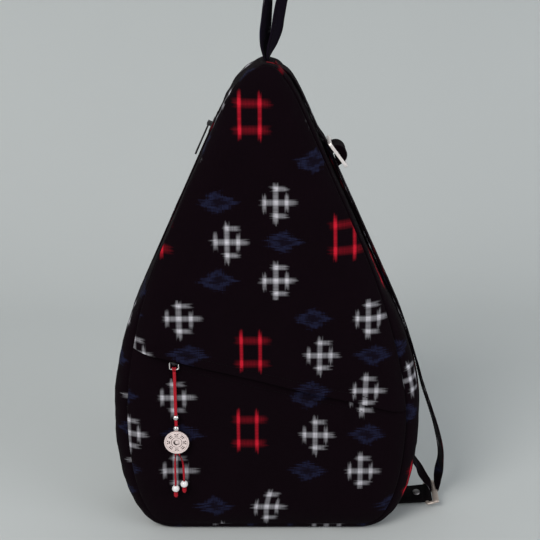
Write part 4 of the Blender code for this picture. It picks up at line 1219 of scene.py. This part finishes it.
def tab_and_ring():
    along, across, out = tab_axes()
    tab = softened("tab_webbing", "lower_tab", 0.0004, WEBBING_BLACK, 2)
    for vert in tab.data.vertices:
        from_bar = vert.co - TAB_BAR
        back, beside = -from_bar.dot(along), from_bar.dot(across)
        vert.co += along * (TAB_EASE * smooth_step((0.0045 - back) / 0.004))
        flare = TAB_FLARE * smooth_step((back - 0.004) / 0.008)
        if beside > 0:
            flare -= 3 * TAB_FLARE * smooth_step((back - 0.016) / 0.02)
        vert.co += across * (beside * flare)
    layer = tab.data.uv_layers.new(name="cloth")
    for item in tab.data.loops:
        at = tab.data.vertices[item.vertex_index].co - TAB_BAR
        layer.data[item.index].uv = (at.dot(across), at.dot(along))
    placed(tab, "shell", "black_webbing", "lower_tab")

    def on_tab(a, n, w):
        return TAB_BAR + along * a + out * n + across * w

    half = TAB_WIDTH / 2 - 0.0022
    for label, face in (("tab_top", 1), ("tab_under", -1)):
        level = face * (TAB_LAYER + 0.00008)
        for n, side in enumerate((-1, 1)):
            line = [on_tab(-0.0045 - 0.016 * i / 8, level, side * half) for i in range(9)]
            placed(stitches("%s_%d" % (label, n), line, [out * face] * 9, THREAD_BLACK), "shell",
                   "black_webbing")
        line = [on_tab(-0.0045, level, half * (1 - 2 * i / 8)) for i in range(9)]
        placed(stitches(label + "_end", line, [out * face] * 9, THREAD_BLACK), "shell", "black_webbing")
    place = axes(on_tab(-RIVET_REACH, TAB_LAYER + GAP, 0.0), along, across, out)
    dome = [(0.0, 0.0011), (0.001, 0.00106), (0.0019, 0.00092), (0.0026, 0.00068), (0.0031, 0.0004),
            (0.0034, 0.00015), (0.0035, 0.0), (0.0, 0.0)]
    for label, node, flip in (("rivet_dome", "rivet_cap", 1), ("rivet_foot", "rivet_back", -1)):
        item = turned(label, dome, Vector((0, 0, 0)), SILVER_DULL)
        side = axes(on_tab(-RIVET_REACH, flip * (TAB_LAYER + GAP), 0.0), along, across * flip, out * flip)
        item.data.transform(side)
        placed(item, "shell", "silver_metal", node)
    reach = along * math.cos(RING_RISE) + out * math.sin(RING_RISE)
    corners = [TAB_BAR - across * RING_HALF_LENGTH, TAB_BAR + across * RING_HALF_LENGTH,
               TAB_BAR + across * RING_HALF_LENGTH + reach * RING_REACH,
               TAB_BAR - across * RING_HALF_LENGTH + reach * RING_REACH]
    route = rounded(corners, RING_CORNER, 8)
    level = across.cross(reach)
    oval = oval_profile(RING_WIRE * 0.92, RING_WIRE * 1.45, 20)
    placed(tube("ring_wire", route, oval, RING_METAL, closed=True, along=level), "ring", "silver_metal",
           "lower_ring")
    middle = TAB_BAR + reach * (RING_REACH + 0.0004) + reach.cross(across) * 0.0004
    guard = [middle + across * (-RING_HALF_LENGTH - 0.0014 + 0.0144 * i / 8) for i in range(9)]
    flat = oval_profile(0.001, 0.0028, 24)
    placed(tube("ring_plate", guard, flat, RING_METAL, along=level), "ring", "silver_metal")


def rounded(corners, radius, steps):
    route = []
    count = len(corners)
    for i, corner in enumerate(corners):
        before = (corners[i - 1] - corner).normalized()
        after = (corners[(i + 1) % count] - corner).normalized()
        start, end = corner + before * radius, corner + after * radius
        for k in range(steps + 1):
            t = k / steps
            route.append(start * (1 - t) ** 2 + corner * 2 * t * (1 - t) + end * t * t)
    return route


# Zips

def lacquered(name, node, body, width, segments):
    placed(softened(name, node, width, BLACK_METAL, segments), body, "black_metal", node)


def sewn_on(name, surface, line, down):
    """Stitches where a line of points, carried in a direction, meets the cloth."""
    found, outs = [], []
    for at in line:
        hit, where, normal, _ = bpy.data.objects[surface].ray_cast(at, down)
        if hit:
            found.append(where + normal * 0.00006)
            outs.append(normal)
    sewn(stitches(name, found, outs, THREAD_BLACK))


def pocket_zip():
    lacquered("pocket_slider_metal", "pocket_zip_slider", "pocket_slider", 0.0003, 3)
    place = zip_frame()
    place.translation = PULL_HINGE
    down = Vector((math.sin(ZIP_SLOPE), -math.cos(ZIP_SLOPE), 0.0))
    level = Vector((math.cos(ZIP_SLOPE), math.sin(ZIP_SLOPE), 0.0))
    middle = down * PULL_LENGTH
    half = PULL_HALF * math.cos(ZIP_SLOPE)
    corners = [Vector((-PULL_HALF, 0.0, 0.0)), middle - level * half, middle + level * half,
               Vector((PULL_HALF, 0.0, 0.0))]
    route = [place @ p for p in rounded(corners, PULL_CORNER, 6)]
    placed(tube("pull_wire", route, round_profile(PULL_WIRE, 12), SILVER, closed=True), "pocket_pull",
           "silver_metal", "pocket_zip_pull")
    for label, side in (("pull_barrel_left", -1), ("pull_barrel_right", 1)):
        bar = [place @ Vector((side * (0.0011 + 0.0024 * i / 4), 0.0, 0.0)) for i in range(5)]
        placed(tube(label, bar, round_profile(PULL_WIRE + 0.00018, 14), BLACK_METAL), "pocket_slider",
               "black_metal")
    low, high = HEM_SPAN
    for row, offset, surface in (("flap_hem", 0.0075, "upper_cloth"), ("pocket_hem", -0.008, "pocket_cloth")):
        line = [zip_frame() @ Vector((low + (high - low) * i / 79, offset, 0.02)) for i in range(80)]
        sewn_on(row, surface, line, Vector((0.0, 1.0, 0.0)))


def main_zip():
    """Tapes, a coil of fine turns on each, end stops, slider and pull."""
    place = left_flank()
    tape_level = -(CLOTH + GAP)
    out = place.to_3x3() @ Vector((0.0, 0.0, 1.0))

    def line(stretch, across, level):
        return [place @ Vector((MAIN_SLOT_LENGTH * (i / 60 - 0.5) * stretch, across, level))
                for i in range(61)]

    for name, side, node in (("main_tape_front", 1, "main_zip_front_tape"),
                             ("main_tape_back", -1, "main_zip_back_tape")):
        route = line(1.05, side * 0.007, tape_level - 0.0004)
        across = [Vector((0.0, 1.0, 0.0))] * len(route)
        item = ribbon(name, route, across, [0.0135] * len(route), 0.0007, TAPE_BLACK, 0.00005, 4.0)
        placed(item, "shell", "zip_tape", node)
        turns = int(MAIN_SLOT_LENGTH / COIL_PITCH)
        helix = []
        for i in range(turns * 8 + 1):
            t = 2 * math.pi * i / 8
            u = -MAIN_SLOT_LENGTH / 2 + MAIN_SLOT_LENGTH * i / (turns * 8)
            helix.append(place @ Vector((u, side * (0.0011 + 0.0008 * math.cos(t)),
                                         tape_level + 0.0006 + 0.0005 * math.sin(t))))
        placed(tube(name + "_coil", helix, round_profile(0.00032, 5), COIL_BLACK), "shell", "zip_tape")
        edge = line(1.0, side * (MAIN_SLOT_HALF + 0.0004), -0.0003)
        sewn(tube(name + "_lip", edge, round_profile(0.0011, 10), CLOTH_GUSSET))
        beside = line(1.02, side * (MAIN_SLOT_HALF + 0.0042), 0.0)
        sewn_on(name + "_sewn", "gusset_cloth", [at + out * 0.01 for at in beside], -out)
    for node in ("main_zip_top_stop", "main_zip_low_stop"):
        lacquered(node + "_metal", node, "shell", 0.0002, 2)
    lacquered("main_slider_metal", "main_zip_slider", "main_slider", 0.0004, 3)
    lacquered("main_pull_metal", "main_zip_pull", "main_pull", 0.0003, 3)


# Charm

def charm_point(drop, spread=0.0):
    return CHARM_TOP + Vector((spread, -CHARM_LEAN * min(1.0, drop / TAIL_BEAD_DROPS[0]), -drop))


def medallion():
    """A generic charm: a rim groove, two rings of broken dashes, an inner groove and a crescent."""
    middle = charm_point(MEDALLION_DROP)
    half = MEDALLION_THICK / 2
    rings, sides = 64, 192
    build = bmesh.new()
    layer = build.verts.layers.float.new("relief")

    def ring(share, relief, back=None):
        row = []
        for t in angles(sides):
            raised = relief(share, t)
            depth = half - 0.00045 * (1 - raised) if back is None else half * back
            reach = MEDALLION_RADIUS * share
            row.append(build.verts.new(middle + Vector((reach * math.cos(t), -depth, reach * math.sin(t)))))
            row[-1][layer] = raised
        return row

    rows = [ring(i / rings, medallion_relief) for i in range(rings + 1)]
    rows += [ring(share, lambda *place: 0.7, back)
             for share, back in ((1.0, 0.4), (1.0, -0.5), (0.96, -0.95), (0.5, -0.95))]
    for a, b in zip(rows, rows[1:]):
        for k in range(sides):
            j = (k + 1) % sides
            build.faces.new((a[k], a[j], b[j], b[k]))
    build.faces.new(rows[-1])
    return placed(welded("medallion_relief", build, MEDALLION, False), "charm", "medallion_metal",
                  "medallion")


def medallion_relief(share, t):
    """How raised the medallion is, 0 to 1, at a share of its radius and an angle."""
    def ridge(value, low, high, soft=0.02):
        return smooth_step((value - low) / soft) * smooth_step((high - value) / soft)

    cell = (t / (2 * math.pi) * 8 + 0.5) % 1.0
    dashes = ridge(cell, 0.18, 0.82, 0.05)
    split = 1 - ridge(cell, 0.42, 0.58, 0.03)
    odd = int(t / (2 * math.pi) * 8 + 0.5) % 2
    cut = ridge(share, 0.85, 0.905) * 0.6
    cut += dashes * (split if odd else 1.0) * ridge(share, 0.55, 0.65)
    cut += dashes * (1.0 if odd else split) * ridge(share, 0.69, 0.79)
    cut += ridge(share, 0.39, 0.475, 0.025) * 0.8
    cut += ridge(share, 0.11, 0.29, 0.035) * (0.3 + 0.7 * (0.5 - 0.5 * math.cos(t - 0.6)))
    return 1.0 - min(1.0, cut)


def bead(name, at, radius, bore, finish, node, slot):
    profile = []
    start = math.asin(bore / radius)
    for i in range(17):
        t = start + (math.pi - 2 * start) * i / 16
        profile.append((radius * math.sin(t), radius * math.cos(t)))
    profile.append((bore, -radius * math.cos(start) * 0.9))
    profile.append((bore, radius * math.cos(start) * 0.9))
    profile.append(profile[0])
    item = turned(name, profile, at, finish)
    return placed(item, "charm", slot, node)


def two_strands(radius, sides=20):
    """The section of a doubled cord: two strands side by side."""
    radii = [radius * (0.66 + 0.34 * abs(math.cos(t))) for t in angles(sides)]
    points = [(r * math.cos(t), r * math.sin(t) * 0.85) for r, t in zip(radii, angles(sides))]
    return lambda index: points


def knot(name, at, node):
    """A small overhand knot: cord wound round itself, with a short frayed end."""
    route = []
    for i in range(49):
        t = i / 48
        turn = 2 * math.pi * 2.5 * t
        route.append(at + Vector((0.00095 * math.cos(turn), 0.00095 * math.sin(turn),
                                  KNOT_LENGTH * (0.42 - 0.7 * t))))
    route += [at + Vector((0.0002, 0.0, -KNOT_LENGTH * 0.36)), at + Vector((0.0003, 0.0, -KNOT_LENGTH * 0.5))]
    item = tube(name, route, round_profile(TAIL_RADIUS, 10, 3, 0.2), CORD_RED)
    return placed(item, "charm", "red_cord", node)


def charm():
    ring = [CHARM_TOP + Vector((0.0, HITCH_RADIUS * math.cos(t), HITCH_RADIUS * math.sin(t)))
            for t in angles(32)]
    hitch = tube("hitch_cord", ring, round_profile(HITCH_CORD, 10), CORD_RED, closed=True)
    placed(hitch, "charm", "red_cord", "charm_hitch")
    for label, shift in (("hitch_left", -0.00105), ("hitch_right", 0.00105)):
        beside = [p + Vector((shift * (1.0 - 0.25 * (CHARM_TOP.z - p.z) / HITCH_RADIUS), 0.0, 0.0))
                  for p in ring]
        placed(tube(label, beside, round_profile(HITCH_CORD, 10), CORD_RED, closed=True), "charm",
               "red_cord")
    hitch_low = HITCH_RADIUS + HITCH_CORD + GAP
    end = MEDALLION_DROP - MEDALLION_RADIUS - GAP
    path = [charm_point(hitch_low + (end - hitch_low) * i / 30) for i in range(31)]
    cord = tube("charm_cord_red", path, two_strands(CORD_RADIUS), CORD_RED, along=Vector((1, 0, 0)))
    placed(cord, "charm", "red_cord", "charm_cord", "charm_cord_link")
    upper = bead("silver_bead_upper", charm_point(SILVER_BEAD_DROPS[0]), SILVER_BEAD_RADIUS, CORD_RADIUS,
                 SILVER, "upper_silver_bead", "silver_metal")
    lower = bead("silver_bead_lower", charm_point(SILVER_BEAD_DROPS[1]), SILVER_BEAD_RADIUS, CORD_RADIUS,
                 SILVER, "lower_silver_bead", "silver_metal")
    disc = medallion()
    route_length(path)
    for side, drop, spread in zip(("left", "right"), TAIL_BEAD_DROPS, TAIL_SPREADS):
        top = MEDALLION_DROP + MEDALLION_RADIUS + GAP
        start = charm_point(top, math.copysign(TAIL_RADIUS + GAP, spread))
        last = charm_point(drop - TAIL_BEAD_RADIUS - GAP, spread)
        bend = start.lerp(last, 0.36)
        bend.x = start.x + (last.x - start.x) * 0.86
        foot = charm_point(drop + TAIL_BEAD_RADIUS + GAP + KNOT_LENGTH * 0.35, spread)
        path = smooth_route([start, bend, last, foot], 8)
        tail = tube(side + "_tail_red", path, round_profile(TAIL_RADIUS, 12, 3, 0.18), CORD_RED, 2600.0)
        placed(tail, "charm", "red_cord", side + "_tail_cord")
        pearl = bead(side + "_white_bead", charm_point(drop, spread), TAIL_BEAD_RADIUS, TAIL_RADIUS + 0.0001,
                     GLAZE, side + "_tail_bead", "white_bead")
        tied = knot(side + "_knot_red", charm_point(drop + TAIL_BEAD_RADIUS + GAP + KNOT_LENGTH / 2, spread),
                    side + "_knot")
        route_length(path)


def dress_cad_nodes():
    """What stays as the CAD model has it, with its own finish."""
    for node, finish in (("pocket_lining", LINING_DARK), ("pocket_zip_lower_tape", TAPE_BLACK),
                         ("pocket_zip_upper_tape", TAPE_BLACK), ("pocket_zip_left_stop", SILVER_SOFT),
                         ("pocket_zip_right_stop", SILVER_SOFT)):
        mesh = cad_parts[node].data
        mesh.materials.clear()
        mesh.materials.append(finish)
        if "cloth" not in mesh.uv_layers:
            layer = mesh.uv_layers.new(name="cloth")
            for loop in mesh.loops:
                at = mesh.vertices[loop.vertex_index].co
                layer.data[loop.index].uv = (at.x, at.z)


# Camera, lights and floor

def camera():
    data = bpy.data.cameras.new("camera")
    data.lens = CAMERA_LENS
    data.sensor_width = 36.0
    item = linked("camera", data)
    view = Vector((0.0, math.cos(CAMERA_PITCH), -math.sin(CAMERA_PITCH)))
    item.location = CAMERA_TARGET - view * CAMERA_DISTANCE
    item.rotation_euler = (math.pi / 2 - CAMERA_PITCH, 0.0, 0.0)
    bpy.context.scene.camera = item


def lamp(name, place, target, size, power, color):
    data = bpy.data.lights.new(name, "AREA")
    data.shape = "DISK"
    data.size = size
    data.energy = power
    data.color = color
    item = linked(name, data)
    item.location = place
    item.rotation_euler = (Vector(target) - Vector(place)).to_track_quat("-Z", "Y").to_euler()


def studio():
    scene = bpy.context.scene
    scene.view_settings.view_transform = "Standard"
    lamp("key", (-0.9, -1.3, 1.5), (0.0, 0.0, 0.2), 1.0, 22.0, (1.0, 0.98, 0.95))
    lamp("fill", (1.5, -1.0, 0.8), (0.0, 0.0, 0.2), 1.2, 9.0, (0.95, 0.97, 1.0))
    lamp("back", (0.5, 1.4, 1.3), (0.0, 0.0, 0.25), 1.0, 10.0, (1.0, 1.0, 1.0))
    world = bpy.data.worlds.new("studio")
    world.use_nodes = True
    scene.world = world
    shade = world.node_tree.nodes["Background"]
    shade.inputs["Color"].default_value = (0.93, 0.96, 1.0, 1.0)
    shade.inputs["Strength"].default_value = 0.45
    graph = Graph("backdrop", 0.9)
    soft = graph.noise(1.5, 2.0)
    graph.color(graph.mix(soft, (0.6, 0.625, 0.62), (0.55, 0.575, 0.57)))
    build = bmesh.new()
    profile = [(-3.0, -0.0006), (0.45, -0.0006)]
    profile += [(0.45 + 0.45 * math.sin(t), 0.4494 - 0.45 * math.cos(t))
                for t in [math.pi / 2 * i / 16 for i in range(1, 17)]]
    profile += [(0.9, 2.6)]
    rows = [[build.verts.new((x, y, z)) for y, z in profile] for x in (-4.0, 4.0)]
    for k in range(len(profile) - 1):
        build.faces.new((rows[0][k], rows[0][k + 1], rows[1][k + 1], rows[1][k]))
    mesh_object("backdrop", build, graph.material)


camera()
charm()
shell_cloth()
loop()
strap()
buckle()
tab_and_ring()
bpy.context.view_layer.update()
pocket_zip()
main_zip()
dress_cad_nodes()
studio()
